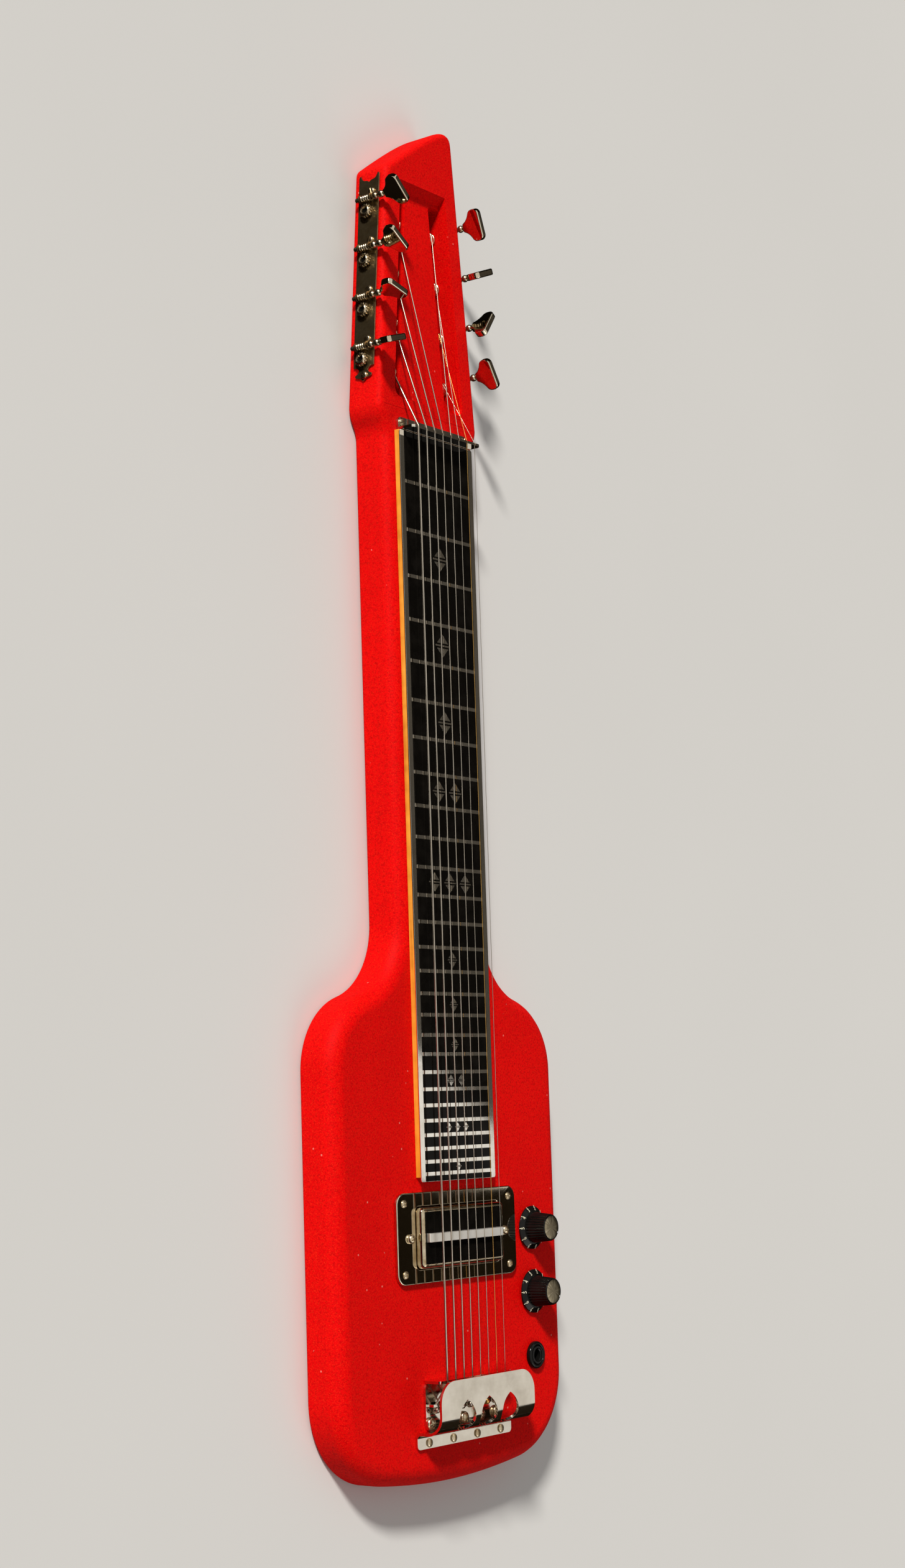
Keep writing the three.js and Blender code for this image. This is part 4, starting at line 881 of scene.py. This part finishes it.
# %% Screws
def screw(head, height, cross, slot=0.9):
    """A screw with a domed head and a short shank. Its seat is at zero."""
    radius, rim, shank = head / 2, height * 0.28, 0.5
    curve = arc(0, 0, 1, 0, quarter, 8)[:-1]
    curve = [(radius * x, rim + (height - rim) * z) for x, z in curve]
    profile = [(0, -shank), (1, -shank), (1, 0), (radius, 0)] + curve + [(0, height)]
    piece = lathe("screw_pattern", profile, 32)
    reach = head * 0.34 if cross else head
    depth = height - min(0.9, height * 0.5)
    outline = rounded(reach, slot / 2, 0.05)
    tools = [plate("slot", outline, depth, height + 1)]
    if cross:
        tools.append(put(plate("slot", outline, depth + 0.01, height + 1.1), spin=quarter))
    carve(piece, *tools)
    return soften(piece, 0.09, 2, 45)


def screws(pattern, places):
    """Copies of a screw at places of (name, x, y, z, angle, nodes that it replaces)."""
    for name, x, y, z, angle, *replaced in places:
        piece = put(twin(pattern, name), x, y, z, math.radians(angle))
        settle(piece, "nickel", "guitar", "nickel", *replaced)
    bpy.data.objects.remove(pattern)


sides = ("bass", "treble")
for kind, ends, angles, head, height, cross, slot in (
    ("nut", sides, (20, 75), 5, 1.4, False, 0.9),
    ("flange", range(1, 5), (78, 84, 95, 88), 5.2, 1.3, False, 0.9),
    ("bridge", range(1, 6), (12, 65, 100, 155, 40), 7.4, 3, False, 1.1),
    ("height", sides, (30, 10), 5.6, 2.8, True, 0.8),
):
    places = []
    for end, angle in zip(ends, angles):
        node = f"{kind}_screw_{end}"
        place, top = middle(node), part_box(node)[1].z / mm
        places.append((f"{kind}_head_{end}", place.x, place.y, top - height, angle, node))
    screws(screw(head, height, cross, slot), places)

ring_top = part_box("pickup_ring")[1].z / mm
ring_screw_x, ring_screw_y = 52, 20.5
screws(screw(4.6, 0.9, True, 0.6), [
    (f"ring_screw_{k + 1}", sx * ring_screw_x, pickup_y + sy * ring_screw_y, ring_top, 20 + 33 * k)
    for k, (sx, sy) in enumerate([(-1, -1), (1, -1), (1, 1), (-1, 1)])
])

# %% [markdown]
# ## Pickup
#
# The pickup stands in a ring of thick mirror-bright metal, whose rounded edge shows as a thin pale
# line. The pickup itself is a nickel frame with a black plate let into its top, and a steel blade
# stands up through the plate under the strings.

# %% Ring
ring_half_x, ring_half_y, ring_corner = 59, 26.7, 7
height_screw_x, height_screw_bore = 46.8, 1.6
outline = rounded(ring_half_x, ring_half_y, ring_corner, 0, pickup_y)
ring = plate("pickup_surround", outline, seat, ring_top)
carve(ring, plate("window", pickup_outline(0.4, 3), 20, 40))
carve(ring, *[rod(height_screw_bore, 20, 40, s * height_screw_x, pickup_y) for s in (-1, 1)])
settle(soften(ring, 0.7, 4), "polished", "guitar", "chrome", "pickup_ring")

# %% Frame, plate and blade of the pickup
frame_low, frame_top = [corner.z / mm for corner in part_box("pickup_cover")]
shell = plate("pickup_frame", pickup_outline(0, 3), frame_low, frame_top)
soften(shell, 2.3, 6, 60)
hollow = plate("hollow", pickup_outline(-0.9, 2), frame_low - 1, frame_top - 0.9)
opening = plate("opening", pickup_outline(-2.6, 0.8), frame_top - 2, frame_top + 1)
carve(shell, hollow, opening)
settle(soften(shell, 0.2, 2, 50), "worn_nickel", "pickup", "nickel", "pickup_cover")

inlay = plate("pickup_inlay", pickup_outline(-2.7, 0.7), frame_top - 0.9, frame_top - 0.25)
carve(inlay, plate("window", rounded(36.8, 2.8, 0.3, 0, pickup_y), frame_top - 2, frame_top + 1))
settle(soften(inlay, 0.1), "black_board", "pickup", "black_plastic")

blade_low, blade_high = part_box("pickup_blade")
blade_half = (blade_high - blade_low) / 2 / mm
outline = rounded(blade_half.x, blade_half.y, 0.3, 0, pickup_y)
blade = plate("blade", outline, blade_low.z / mm, blade_high.z / mm)
settle(soften(blade, 0.35, 3), "brushed_steel", "pickup", "steel", "pickup_blade")

# %% [markdown]
# ## Bridge
#
# A plate on the body is bent up at the front into the saddle, where the strings rest in notches.
# A low lip behind it holds their ball ends. Over it all goes the hand rest, one strip of chromed
# sheet: a flange, a small bend, a wall, a large bend and a flat top with three drop-shaped holes.

# %% Bridge plate, saddle and lip
sheet_top = seat + sheet
base_half, base_half_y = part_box("bridge_base")[1].x / mm, 14.2
lip_y, lip_height = saddle - 13.6, 4.5
lip_seat = sheet_top + 2.4
crest = string_z + 0.4
outline = rounded(base_half, base_half_y, 4.5, 0, saddle - base_half_y)
base = plate("bridge_plate", outline, seat, sheet_top)
outline = rounded(base_half, (crest - seat) / 2, 2.3, 0, (crest + seat) / 2, 6)
wall = upright("wall", outline, saddle - sheet / 2, saddle + sheet / 2)
outline = rounded(base_half - 4.5, 2.2, 0.1, 0, saddle - 1.4)
front = plate("front", outline, seat + 0.01, sheet_top - 0.01)
outline = rounded(base_half - 1.6, sheet / 2, 0.2, 0, lip_y)
lip = plate("lip", outline, seat + 0.02, sheet_top + lip_height)
carve(base, wall, front, lip, operation="UNION")
carve(base, *notch_tools(saddle - 2, saddle + 2, string_z))
carve(base, *notch_tools(lip_y - 1.6, lip_y + 1.6, lip_seat))
settle(soften(base, 0.25, 2), "chrome", "guitar", "chrome", "bridge_base")

# %% Hand rest
rest_x = middle("bridge_cover").x
rest_low, rest_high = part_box("bridge_cover")
rest_half = (rest_high.x - rest_low.x) / 2 / mm
flange_y = rest_low.y / mm
rest_top = rest_high.z / mm
front_y = saddle + 1.2
flange, low_bend, high_bend = 9.1, 3, 10
drop_pitch, drop_radius, drop_length, drop_tip = 21.3, 8.2, 8.3, 10.7


def sheet_section():
    """The outline, in y and z, of the bent sheet: its middle line, made thick to both sides."""
    half = sheet / 2
    low, high, wall_y = seat + half, rest_top - half - 0.001, flange_y + flange
    line = [(flange_y, low)] + arc(wall_y - low_bend, low + low_bend, low_bend, -quarter, 0, 8)
    line += arc(wall_y + high_bend, high - high_bend, high_bend, math.pi, quarter, 20)
    line += [(front_y, high)]
    sides = {1: [], -1: []}
    for i, (y, z) in enumerate(line):
        before, after = line[max(i - 1, 0)], line[min(i + 1, len(line) - 1)]
        along = Vector((after[0] - before[0], after[1] - before[1])).normalized()
        for sign in sides:
            sides[sign].append((y - sign * along.y * half, z + sign * along.x * half))
    return sides[-1] + sides[1][::-1]


def drop_tool(x):
    """A drop with its tip to the front, cut at a slant through the top and the bend."""
    side = bent((0, 0), (drop_radius, -drop_length * 0.37), (drop_radius, -drop_length), 12)[1:]
    outline = [(0, 0)] + [(-a, b) for a, b in side]
    outline += arc(0, -drop_length, drop_radius, math.pi, turn, 20)[1:-1] + side[::-1]
    tool = moved(plate("drop", outline, -30, 15), Matrix.Rotation(math.radians(45), 4, "X"))
    return put(tool, x, saddle - drop_tip, rest_top)


hand_rest = plate("hand_rest", sheet_section(), -rest_half, rest_half)
moved(hand_rest, Matrix.Rotation(quarter, 4, "Z") @ Matrix.Rotation(quarter, 4, "X"))
put(hand_rest, rest_x)
plan = arc(rest_half - 2.5, flange_y + 2.5, 2.5, -quarter, 0, 6)
plan += arc(rest_half - 13, front_y - 13, 13, 0, quarter, 16)
plan += [(-x, y) for x, y in reversed(plan)]
trim = put(plate("trim", plan, 20, 60), rest_x)
carve(hand_rest, trim, operation="INTERSECT")
carve(hand_rest, *[drop_tool(2 + drop_pitch * k) for k in (-1, 0, 1)])
settle(soften(hand_rest, 0.3, 3, 50), "chrome", "guitar", "chrome", "bridge_cover")

# %% [markdown]
# ## Strings
#
# A string is a path with a round section: ball end, up over the saddle, along to the nut, and then
# round its post in the head. The path is a curve object whose bevel gives it thickness, made into
# a mesh at the end. The turns on the post are worked out as a coil that starts where the straight
# part touches the roller.

# %% String paths
wrap_steps, wraps, roller, wrap_gap = 24, 2.3, 4.5, 0.8
ball_radius, ball_half, ball_hole = 1.9, 1.6, 0.7


def string_path(index):
    """The points of one string, in millimetres."""
    diameter = diameters[index]
    x = string_x(index)
    side = -1 if x < 0 else 1
    place = side_frame(side, (index if side < 0 else 7 - index) * tuner_pitch)
    rear = Vector((x, nut + 1.8, string_z))
    local = (place.inverted() @ (rear * mm)) / mm
    reach = roller + fit + diameter / 2
    span = math.hypot(local.y, local.z)
    start = math.atan2(-local.z, -local.y * side) + math.asin(reach / span) + quarter
    pitch = diameter + wrap_gap
    points = [(x, lip_y - 3, lip_seat), (x, lip_y + 1, lip_seat)]
    points += [(x, saddle - 1, string_z), (x, nut, string_z), rear]
    for i in range(round(wraps * wrap_steps) + 1):
        angle = start - turn * i / wrap_steps
        across = -rail - slot_width / 2 + wraps * pitch / 2 - i / wrap_steps * pitch
        spot = Vector((across, side * reach * math.cos(angle), reach * math.sin(angle)))
        points.append((place @ (spot * mm)) / mm)
    return points


def cable(name, points, radius):
    """A tube along points: a curve with a round bevel, made into a mesh."""
    curve = added(name, bpy.ops.curve.primitive_bezier_curve_add)
    curve.data.splines.clear()
    spline = curve.data.splines.new("POLY")
    spline.points.add(len(points) - 1)
    for spot, point in zip(spline.points, points):
        spot.co = (*[v * mm for v in point], 1)
    curve.data.dimensions = "3D"
    curve.data.bevel_depth = radius * mm
    curve.data.bevel_resolution = 2
    curve.data.use_fill_caps = True
    bpy.ops.object.convert(target="MESH")
    return named(name)


half_profile = [(ball_hole, -ball_half), (1.5, -ball_half), (ball_radius, -1.2)]
profile = half_profile + [(radius, -height) for radius, height in reversed(half_profile)]
for index, diameter in enumerate(diameters):
    wire = cable("wire", string_path(index), diameter / 2)
    ball = moved(lathe("ball", profile, 20), lay_down)
    put(ball, string_x(index), lip_y - sheet / 2 - fit - ball_radius, lip_seat)
    string = smoothed(joined(f"string_wire_{index + 1}", [wire, ball]), 50)
    metal_name = "gold_steel" if index == 6 else "steel"
    settle(string, metal_name, "guitar", metal_name, f"string_{index + 1}")

# %% [markdown]
# ## Knobs
#
# Each knob is a black skirt with numerals and a fluted barrel with a spun metal cap. The flutes are
# drawn into the outline of a plate, which is then narrowed at its top. The numerals are text made
# into a mesh and laid on the slope of the skirt.

# %% Knob
flutes, flute_depth, flute_steps = 32, 0.55, 6
barrel_low, barrel_high, cap_z = 9.6, 8.2, 15
numeral_size, numeral_step = 3.3, 33


def fluted(radius):
    """A circle with shallow flutes all round."""
    points = []
    for i in range(flutes * flute_steps):
        angle = turn * i / (flutes * flute_steps)
        reach = radius - flute_depth * (0.5 + 0.5 * math.cos(flutes * angle))
        points.append((reach * math.cos(angle), reach * math.sin(angle)))
    return points


def knob_shell():
    """The black part: a sloping skirt, a fluted barrel, and a raised rim for the cap."""
    skirt = lathe("knob_pattern", [
        (0, 1), (5.1, 1), (5.1, 0), (12.9, 0), (13.3, 0.3), (13.3, 0.8), (13.1, 1.1),
        (10.6, 2.5), (10, 2.7), (0, 2.7),
    ], 72)
    barrel = plate("barrel", fluted(barrel_low), 1.5, cap_z)
    for vertex in barrel.data.vertices:
        if vertex.co.z > cap_z / 2 * mm:
            vertex.co.x *= barrel_high / barrel_low
            vertex.co.y *= barrel_high / barrel_low
    carve(skirt, barrel, operation="UNION")
    rim = [(0, -0.6), (7.75, -0.6), (7.95, 0.1), (7.6, 0.55), (7.3, 0.55), (7.1, 0.1), (0, 0.1)]
    carve(skirt, put(lathe("rim", rim, 64), z=cap_z), operation="UNION")
    carve(skirt, rod(3.3, -1, 11))
    return soften(skirt, 0.12, 2, 55)


def numeral(number):
    """A numeral and its tick, lying on the slope of the skirt, at the angle of its number."""
    text = added("numeral", bpy.ops.object.text_add)
    text.data.body = str(number)
    text.data.size = numeral_size * mm
    text.data.align_x = "CENTER"
    text.data.align_y = "CENTER"
    text.data.extrude = 0.03 * mm
    bpy.ops.object.convert(target="MESH")
    sign = named("numeral")
    tick = plate("tick", rounded(0.2, 0.5, 0.1, 0, 1.85, 2), -0.03, 0.03)
    mark = joined("mark", [sign, tick])
    drop = Matrix.Rotation(-math.atan2(1.4, 2.5), 4, "X")
    out = Matrix.Translation((0, 11.55 * mm, 2.0 * mm))
    angle = math.pi + (number - 5) * math.radians(numeral_step) - quarter
    return moved(mark, Matrix.Rotation(angle, 4, "Z") @ out @ drop)


knob_pattern = knob_shell()
cap_profile = [(0, 0), (7.05, 0), (7.05, 0.35), (6.7, 0.5), (4.5, 0.68), (0, 0.8)]
cap_pattern = smoothed(put(lathe("cap_pattern", cap_profile, 64), z=cap_z))
number_pattern = joined("number_pattern", [numeral(number) for number in range(1, 10)])
for k, place in enumerate(knob_places, 1):
    node = f"knob_{k}"
    spot = (place.x, place.y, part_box(node)[0].z / mm)
    knob = put(twin(knob_pattern, f"knob_shell_{k}"), *spot)
    settle(knob, "black_plastic", node, "black_plastic", node)
    cap = put(twin(cap_pattern, f"knob_cap_{k}"), *spot)
    settle(cap, spun_metal(f"spun_metal_{k}", place.x, place.y), node, "nickel")
    numbers = put(twin(number_pattern, f"knob_numbers_{k}"), *spot)
    settle(numbers, "ivory", node, "black_plastic")
for pattern in (knob_pattern, cap_pattern, number_pattern):
    bpy.data.objects.remove(pattern)

# %% [markdown]
# ## Jack
#
# The jack is held by a round black nut with a soft edge. Its bore stays open, because a plug has to
# go in.

# %% Jack
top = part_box("jack_nut")[1].z / mm - seat
shoulder_z = 1.4
crown = arc(0, 0, 1, 0, quarter, 6)
profile = [(jack_bore, 0), (8.2, 0), (8.4, 0.3)]
profile += [(6.9 + 1.5 * x, shoulder_z + (top - shoulder_z) * z) for x, z in crown]
profile += [(6.2, top - 0.1), (jack_bore, top - 0.5)]
jack_nut = put(lathe("jack_ring", profile, 48), jack_place.x, jack_place.y, seat)
settle(smoothed(jack_nut, 50), "black_plastic", "guitar", "black_plastic", "jack_nut")

socket_low, socket_high = [corner.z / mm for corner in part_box("jack_socket")]
profile = [
    (0, socket_low), (9.2, socket_low), (9.5, socket_low + 0.3), (9.5, 21.5), (5.6, 21.5),
    (5.6, socket_high - 0.4), (5.2, socket_high), (4.4, socket_high), (4.2, socket_high - 0.6),
    (3.5, socket_high - 0.9), (3.3, socket_high - 1.4), (3.3, socket_low + 1.5), (0, socket_low + 1.5),
]
jack_body = put(lathe("jack_body", profile, 48), jack_place.x, jack_place.y)
settle(smoothed(jack_body, 40), "black_plastic", "guitar", "black_plastic", "jack_socket")

# %% [markdown]
# ## Tuning machines
#
# Four machines share one stamped plate on each side of the head. A worm on an upright shaft turns
# a small gear on the end of each post. The shaft ends in two balls and a flat button. Each part is
# modelled once in the frame of the head's side, where x points outwards, and then moved.

# %% Post with its gear
worm_x, worm_along, worm_half = 4.0, 8.0, 3.3
gear_teeth, gear_root, gear_tip = 14, 3.7, 4.5
cup_z = worm_x + 1.5


def gear_outline():
    """The teeth, each with a narrow top and a wide root."""
    points = []
    for k in range(gear_teeth):
        for share, radius in ((-0.3, gear_root), (-0.17, gear_tip), (0.17, gear_tip), (0.3, gear_root)):
            angle = turn * (k + share) / gear_teeth
            points.append((radius * math.cos(angle), radius * math.sin(angle)))
    return points


def post_pattern():
    """The post with its roller in the slot, and its gear with an open cup on the outer end."""
    end = -(rail + slot_width + 5)
    inner, outer = -(rail + slot_width) + fit, -rail - fit
    shaft = lathe("shaft", [
        (0, end), (2.8, end), (3.1, end + 0.3), (3.1, inner), (4.7, inner), (4.75, inner + 0.8),
        (roller, inner + 1), (roller, outer - 1), (4.75, outer - 0.8), (4.7, outer), (3.1, outer),
        (3.1, 2.6), (0, 2.6),
    ], 40)
    gear = plate("gear", gear_outline(), worm_x - 1.5, worm_x + 0.5)
    cup = [(0, -2.5), (3.6, -2.5), (3.6, -0.9), (3.3, -0.3), (2.8, 0), (2.3, -0.2), (2.1, -0.6)]
    cup = put(lathe("cup", cup + [(2.0, -2.3), (0, -2.3)], 40), z=cup_z)
    carve(gear, rod(2.6, 0, worm_x + 4))
    soften(gear, 0.2, 2, 30)
    return moved(joined("post_pattern", [smoothed(shaft), gear, smoothed(cup)]), lay_down)


def eye_pattern():
    """A dark disc at the bottom of the hollow in a gear, as painted shade in the hollow."""
    profile = [(0, -2.25), (1.9, -2.25), (1.95, -1.7), (1.5, -1.9), (0.7, -2.0), (0, -1.8)]
    return moved(put(smoothed(lathe("eye_pattern", profile, 32)), z=cup_z), lay_down)


# %% Shaft with its worm, balls and button
threads, stem, small_ball, big_ball, ball_pitch = 4, 1.3, 1.6, 2.3, 4.8
button_half, button_length, button_corner, button_thick = 10.2, 13.9, 3.3, 2.1


def ball(radius, centre, neck=stem):
    """Part of a ball's profile, from the neck on one side to that on the other."""
    start = math.acos(neck / radius)
    return arc(0, centre, radius, -start, start, 10)


def worm_pattern():
    """The turned shaft: a small ball, the worm, two larger balls and the seat of the button."""
    lug = worm_half + 2 * fit + 1
    low_ball = -lug - small_ball
    first = lug + 0.3 + big_ball
    second = first + ball_pitch
    low = second + big_ball + 0.6
    profile = [(0, low_ball - small_ball)]
    profile += [p for p in ball(small_ball, low_ball, 0.01) if p[1] < low_ball + 0.9]
    profile += [(stem, low_ball + 1), (stem, -worm_half)]
    for thread in range(threads):
        start = -worm_half + 2 * worm_half * thread / threads
        profile += [(1.7, start + 0.05), (2.3, start + 0.55), (2.4, start + 0.8)]
        profile += [(2.3, start + 1.05), (1.7, start + 1.5)]
    profile += [(stem, worm_half + 0.05)] + ball(big_ball, first) + ball(big_ball, second)
    profile += [(1.5, low - 0.3), (2.1, low + 0.6), (2.0, low + 2), (0, low + 2)]
    return smoothed(lathe("worm_pattern", profile, 32), 60), low


def button_pattern(low):
    """The flat button, which widens from a neck in two bends."""
    high, wide = low + button_length, button_half
    side = [(2.5, low), (2.9, low + 0.8)]
    side += bent((2.9, low + 0.8), (4.2, low + 4.0), (8.3, low + 5.9), 8)[1:]
    side += bent((8.3, low + 5.9), (wide, low + 6.9), (wide, low + 9.4), 6)[1:]
    side += arc(wide - button_corner, high - button_corner, button_corner, 0, quarter, 8)
    outline = side + [(-x, z) for x, z in reversed(side)]
    return soften(upright("button_pattern", outline, -button_thick, button_thick), 1.5, 5, 50)


# %% Plate with its lugs
plate_foot, plate_length, lug_radius = -13.6, 135.9, 2.6


def plate_outline(side):
    """The stamped outline: a round foot with two ears, straight sides and a hollow top end."""
    low, high = plate_foot, plate_length + plate_foot
    right = [(0, low), (0.9, low + 0.9)]
    for pull, end, steps in (
        ((2.4, low + 2.4), (4.6, low + 2.5), 4), ((7.2, low + 3.2), (6.2, low + 4.8), 4),
        ((3.4, low + 5.6), (3.5, low + 7.4), 4), ((4.2, low + 9.4), (7.9, low + 9.6), 4),
        (None, (7.9, high - 0.9), 0), (None, (7.3, high - 0.1), 0), (None, (6.6, high), 0),
        ((5.6, high - 3.4), (3.2, high - 3.6), 5), ((1.4, high - 3.6), (0, high - 5), 4),
    ):
        right += bent(right[-1], pull, end, steps)[1:] if pull else [end]
    return [(z, side * y) for z, y in right] + [(-z, side * y) for z, y in reversed(right[1:-1])]


def tuner_plate(side, name):
    """The stamped plate of one side, with two lugs for each worm."""
    backing = moved(plate(name, plate_outline(side), fit, fit + 1), lay_down)
    tools, lugs = [], []
    for k in range(4):
        place = Matrix.Translation((0, side * k * tuner_pitch * mm, 0))
        tools.append(moved(rod(3.3, -1, 3), place @ lay_down))
        y = side * (k * tuner_pitch + worm_along)
        for end in (-1, 1):
            z = end * (worm_half + fit + 0.5)
            outline = arc(worm_x, y, lug_radius, -quarter, quarter, 12)
            outline = [(0.8, y - lug_radius)] + outline + [(0.8, y + lug_radius)]
            lug = plate("lug", outline, z - 0.5, z + 0.5)
            lugs.append(carve(lug, rod(1.5, z - 2, z + 2, worm_x, y)))
    carve(backing, *tools)
    piece = joined(name, [soften(part, 0.2, 2, 50) for part in [backing] + lugs])
    return moved(piece, side_frame(side, 0))


# %% Place the tuning machines
button_angles = {-1: [18, 167, 148, 139], 1: [123, 55, 22, 111]}
words = {-1: "bass", 1: "treble"}
post, hollow_shade = post_pattern(), eye_pattern()
worm, neck = worm_pattern()
button = button_pattern(neck)
head = moved(screw(4.6, 1.5, False, 0.7), lay_down)


def placed(pattern, name, place, finish, node, slot, *replaced):
    """A copy of a pattern, moved to its place and settled."""
    settle(moved(twin(pattern, name), place), finish, node, slot, *replaced)


for side, word in words.items():
    machine_plate = tuner_plate(side, f"machine_plate_{word}")
    settle(machine_plate, "old_nickel", "guitar", "nickel", f"tuner_plate_{word}")
    for k in range(4):
        end = f"{word}_{k + 1}"
        place = side_frame(side, k * tuner_pitch)
        node = f"tuner_post_{end}"
        placed(post, f"post_{end}", place, "nickel", node, "steel", node)
        # A dark disc in the hollow of each gear, as painted shade.
        placed(hollow_shade, f"gear_hollow_shade_{end}", place, "black_plastic", node, "steel")
        spot = place @ Vector((worm_x * mm, side * worm_along * mm, 0))
        spin = Matrix.Rotation(math.radians(button_angles[side][k]), 4, "Z")
        place = Matrix.Translation(spot) @ spin
        node = f"tuner_button_{end}"
        placed(worm, f"worm_{end}", place, "nickel", node, "nickel")
        placed(button, f"button_{end}", place, "polished", node, "nickel", node)
    for k in range(5):
        along, rise = (-9.8, 1) if k == 4 else (k * tuner_pitch + 13.3, 2.5)
        shift = Matrix.Translation((1.35 * mm, side * along * mm, rise * mm))
        place = side_frame(side, 0) @ shift @ Matrix.Rotation(0.6 * k, 4, "X")
        placed(head, f"plate_screw_{word}_{k + 1}", place, "nickel", "guitar", "nickel")
for pattern in (post, hollow_shade, worm, button, head):
    bpy.data.objects.remove(pattern)

# %% [markdown]
# ## Back cover
#
# A thin black plate closes the controls from the back. It lies in a rebate, so that the back of the
# guitar stays flat.

# %% Back cover
lid = plate("control_lid", lid_outline(0), 0.25, 1.6)
settle(soften(lid, 0.2), "black_plastic", "guitar", "black_plastic", "control_cavity_cover")
pattern = moved(screw(4, 0.9, True, 0.6), Matrix.Rotation(math.pi, 4, "X"))
reach_x, reach_y = lid_half.x - 4.8, lid_half.y - 4.8
corners = [(sx * reach_x, sy * reach_y) for sx in (-1, 1) for sy in (-1, 1)]
screws(pattern, [
    (f"lid_screw_{k + 1}", lid_place.x + x, lid_place.y + y, 0.95, 25 * k)
    for k, (x, y) in enumerate(corners)
])

# %% [markdown]
# ## Studio
#
# The floor is plain and pale. A strong lamp stands to the upper left and a weak one opposite, and
# the world gives the rest. Polished metal shows the room, so four dark cloths hang outside the
# picture, as in a photographer's studio: a low one all round, a tall one beyond the head, a narrow
# one for the pickup and one on the floor. They only show in reflections, and they give the chrome
# its dark bands.

# %% Floor
def floor_finish():
    recipe = Recipe("floor")
    cloud = recipe.noise(2.2, 3)
    base = recipe.mixed(cloud, (0.70, 0.69, 0.67), (0.74, 0.73, 0.71))
    return recipe.finish(base, recipe.grey(cloud, 0.3, 0.7, 0.75, 0.85), specular_ior_level=0)


disc = bpy.ops.mesh.primitive_circle_add
floor = added("floor", disc, vertices=96, radius=14, fill_type="NGON", location=(0, 0, -0.0005))
floor.data.materials.append(floor_finish())


# %% Dark cloths
cloth_distance, ring_height, ring_radius = 2.9, 1.8, 3


def cloth_finish(name, dark, light):
    recipe = Recipe(name)
    nap = recipe.noise(3, 2)
    return recipe.finish(recipe.mixed(nap, dark, light), 0.9, specular_ior_level=0)


def only_reflected(piece, finish):
    """Let a piece of the studio show in reflections alone."""
    piece.data.materials.append(finish)
    piece.visible_camera = False
    piece.visible_diffuse = False
    piece.visible_shadow = False
    piece.visible_transmission = False


def hung_cloth(name, finish, low_left, low_right, high_left, high_right):
    """A cloth on the far side of the guitar. Each corner lists y and z."""
    cloth = added(name, bpy.ops.mesh.primitive_plane_add, size=1)
    for vertex, (y, z) in zip(cloth.data.vertices, (low_left, low_right, high_left, high_right)):
        vertex.co = (cloth_distance, y, z)
    only_reflected(cloth, finish)


dark_cloth = cloth_finish("dark_cloth", (0.008, 0.006, 0.0035), (0.012, 0.009, 0.0055))
grey_cloth = cloth_finish("grey_cloth", (0.044, 0.040, 0.034), (0.062, 0.056, 0.048))
size = {"radius": ring_radius, "depth": ring_height, "end_fill_type": "NOTHING"}
low_cloth = added("low_cloth", bpy.ops.mesh.primitive_cylinder_add, vertices=64, **size)
only_reflected(moved(low_cloth, Matrix.Translation((0, 0, ring_height / 2))), dark_cloth)
hung_cloth("tall_cloth", grey_cloth, (-0.76, 1.5), (5, 1.5), (1.82, 4.6), (5, 4.6))
hung_cloth("narrow_cloth", dark_cloth, (-0.63, 0), (-0.352, 0), (-0.63, 2.9), (-0.352, 2.9))
size = {"radius": cloth_distance, "fill_type": "NGON", "location": (0, 0, -0.0002)}
only_reflected(added("floor_cloth", disc, vertices=64, **size), dark_cloth)


# %% Lamps and world
def lamp(name, place, width, strength, colour):
    """A far lamp, as wide in the sky as an angle in degrees. It lights the whole floor evenly."""
    bpy.ops.object.light_add(type="SUN", location=place)
    light = bpy.context.object
    light.name = name
    light.data.angle = math.radians(width)
    light.data.energy = strength
    light.data.color = colour
    light.rotation_euler = (-Vector(place)).to_track_quat("-Z", "Y").to_euler()


lamp("main_lamp", (-1.75, 1.95, 1.27), 7, 4.0, (1, 0.97, 0.92))
lamp("side_lamp", (0.9, -1.7, 1.9), 30, 0.3, (1, 0.98, 0.96))

world = bpy.data.worlds.new("studio")
bpy.context.scene.world = world
world.use_nodes = True
tree = world.node_tree
tree.nodes.clear()


def world_node(kind, *sources, operation=None, **values):
    """Make a node of the world, link its first sockets and set the others."""
    made = tree.nodes.new("ShaderNode" + kind)
    if operation:
        made.operation = operation
    for socket, source in zip(made.inputs, sources):
        tree.links.new(source, socket)
    for name, value in values.items():
        made.inputs[name].default_value = value
    return made.outputs


path = world_node("LightPath")
seen = world_node("Math", path["Is Camera Ray"], path["Is Glossy Ray"], operation="MAXIMUM")
seen = world_node("Math", seen[0], path["Is Transmission Ray"], operation="MAXIMUM")
light = world_node("Background", Color=(1, 0.985, 0.96, 1), Strength=0.28)
backdrop = world_node("Background", Color=(0.80, 0.78, 0.74, 1), Strength=1)
blend = world_node("MixShader", seen[0], light[0], backdrop[0])
world_node("OutputWorld", blend[0])
bpy.context.scene.view_settings.view_transform = "Standard"
print("studio is set")
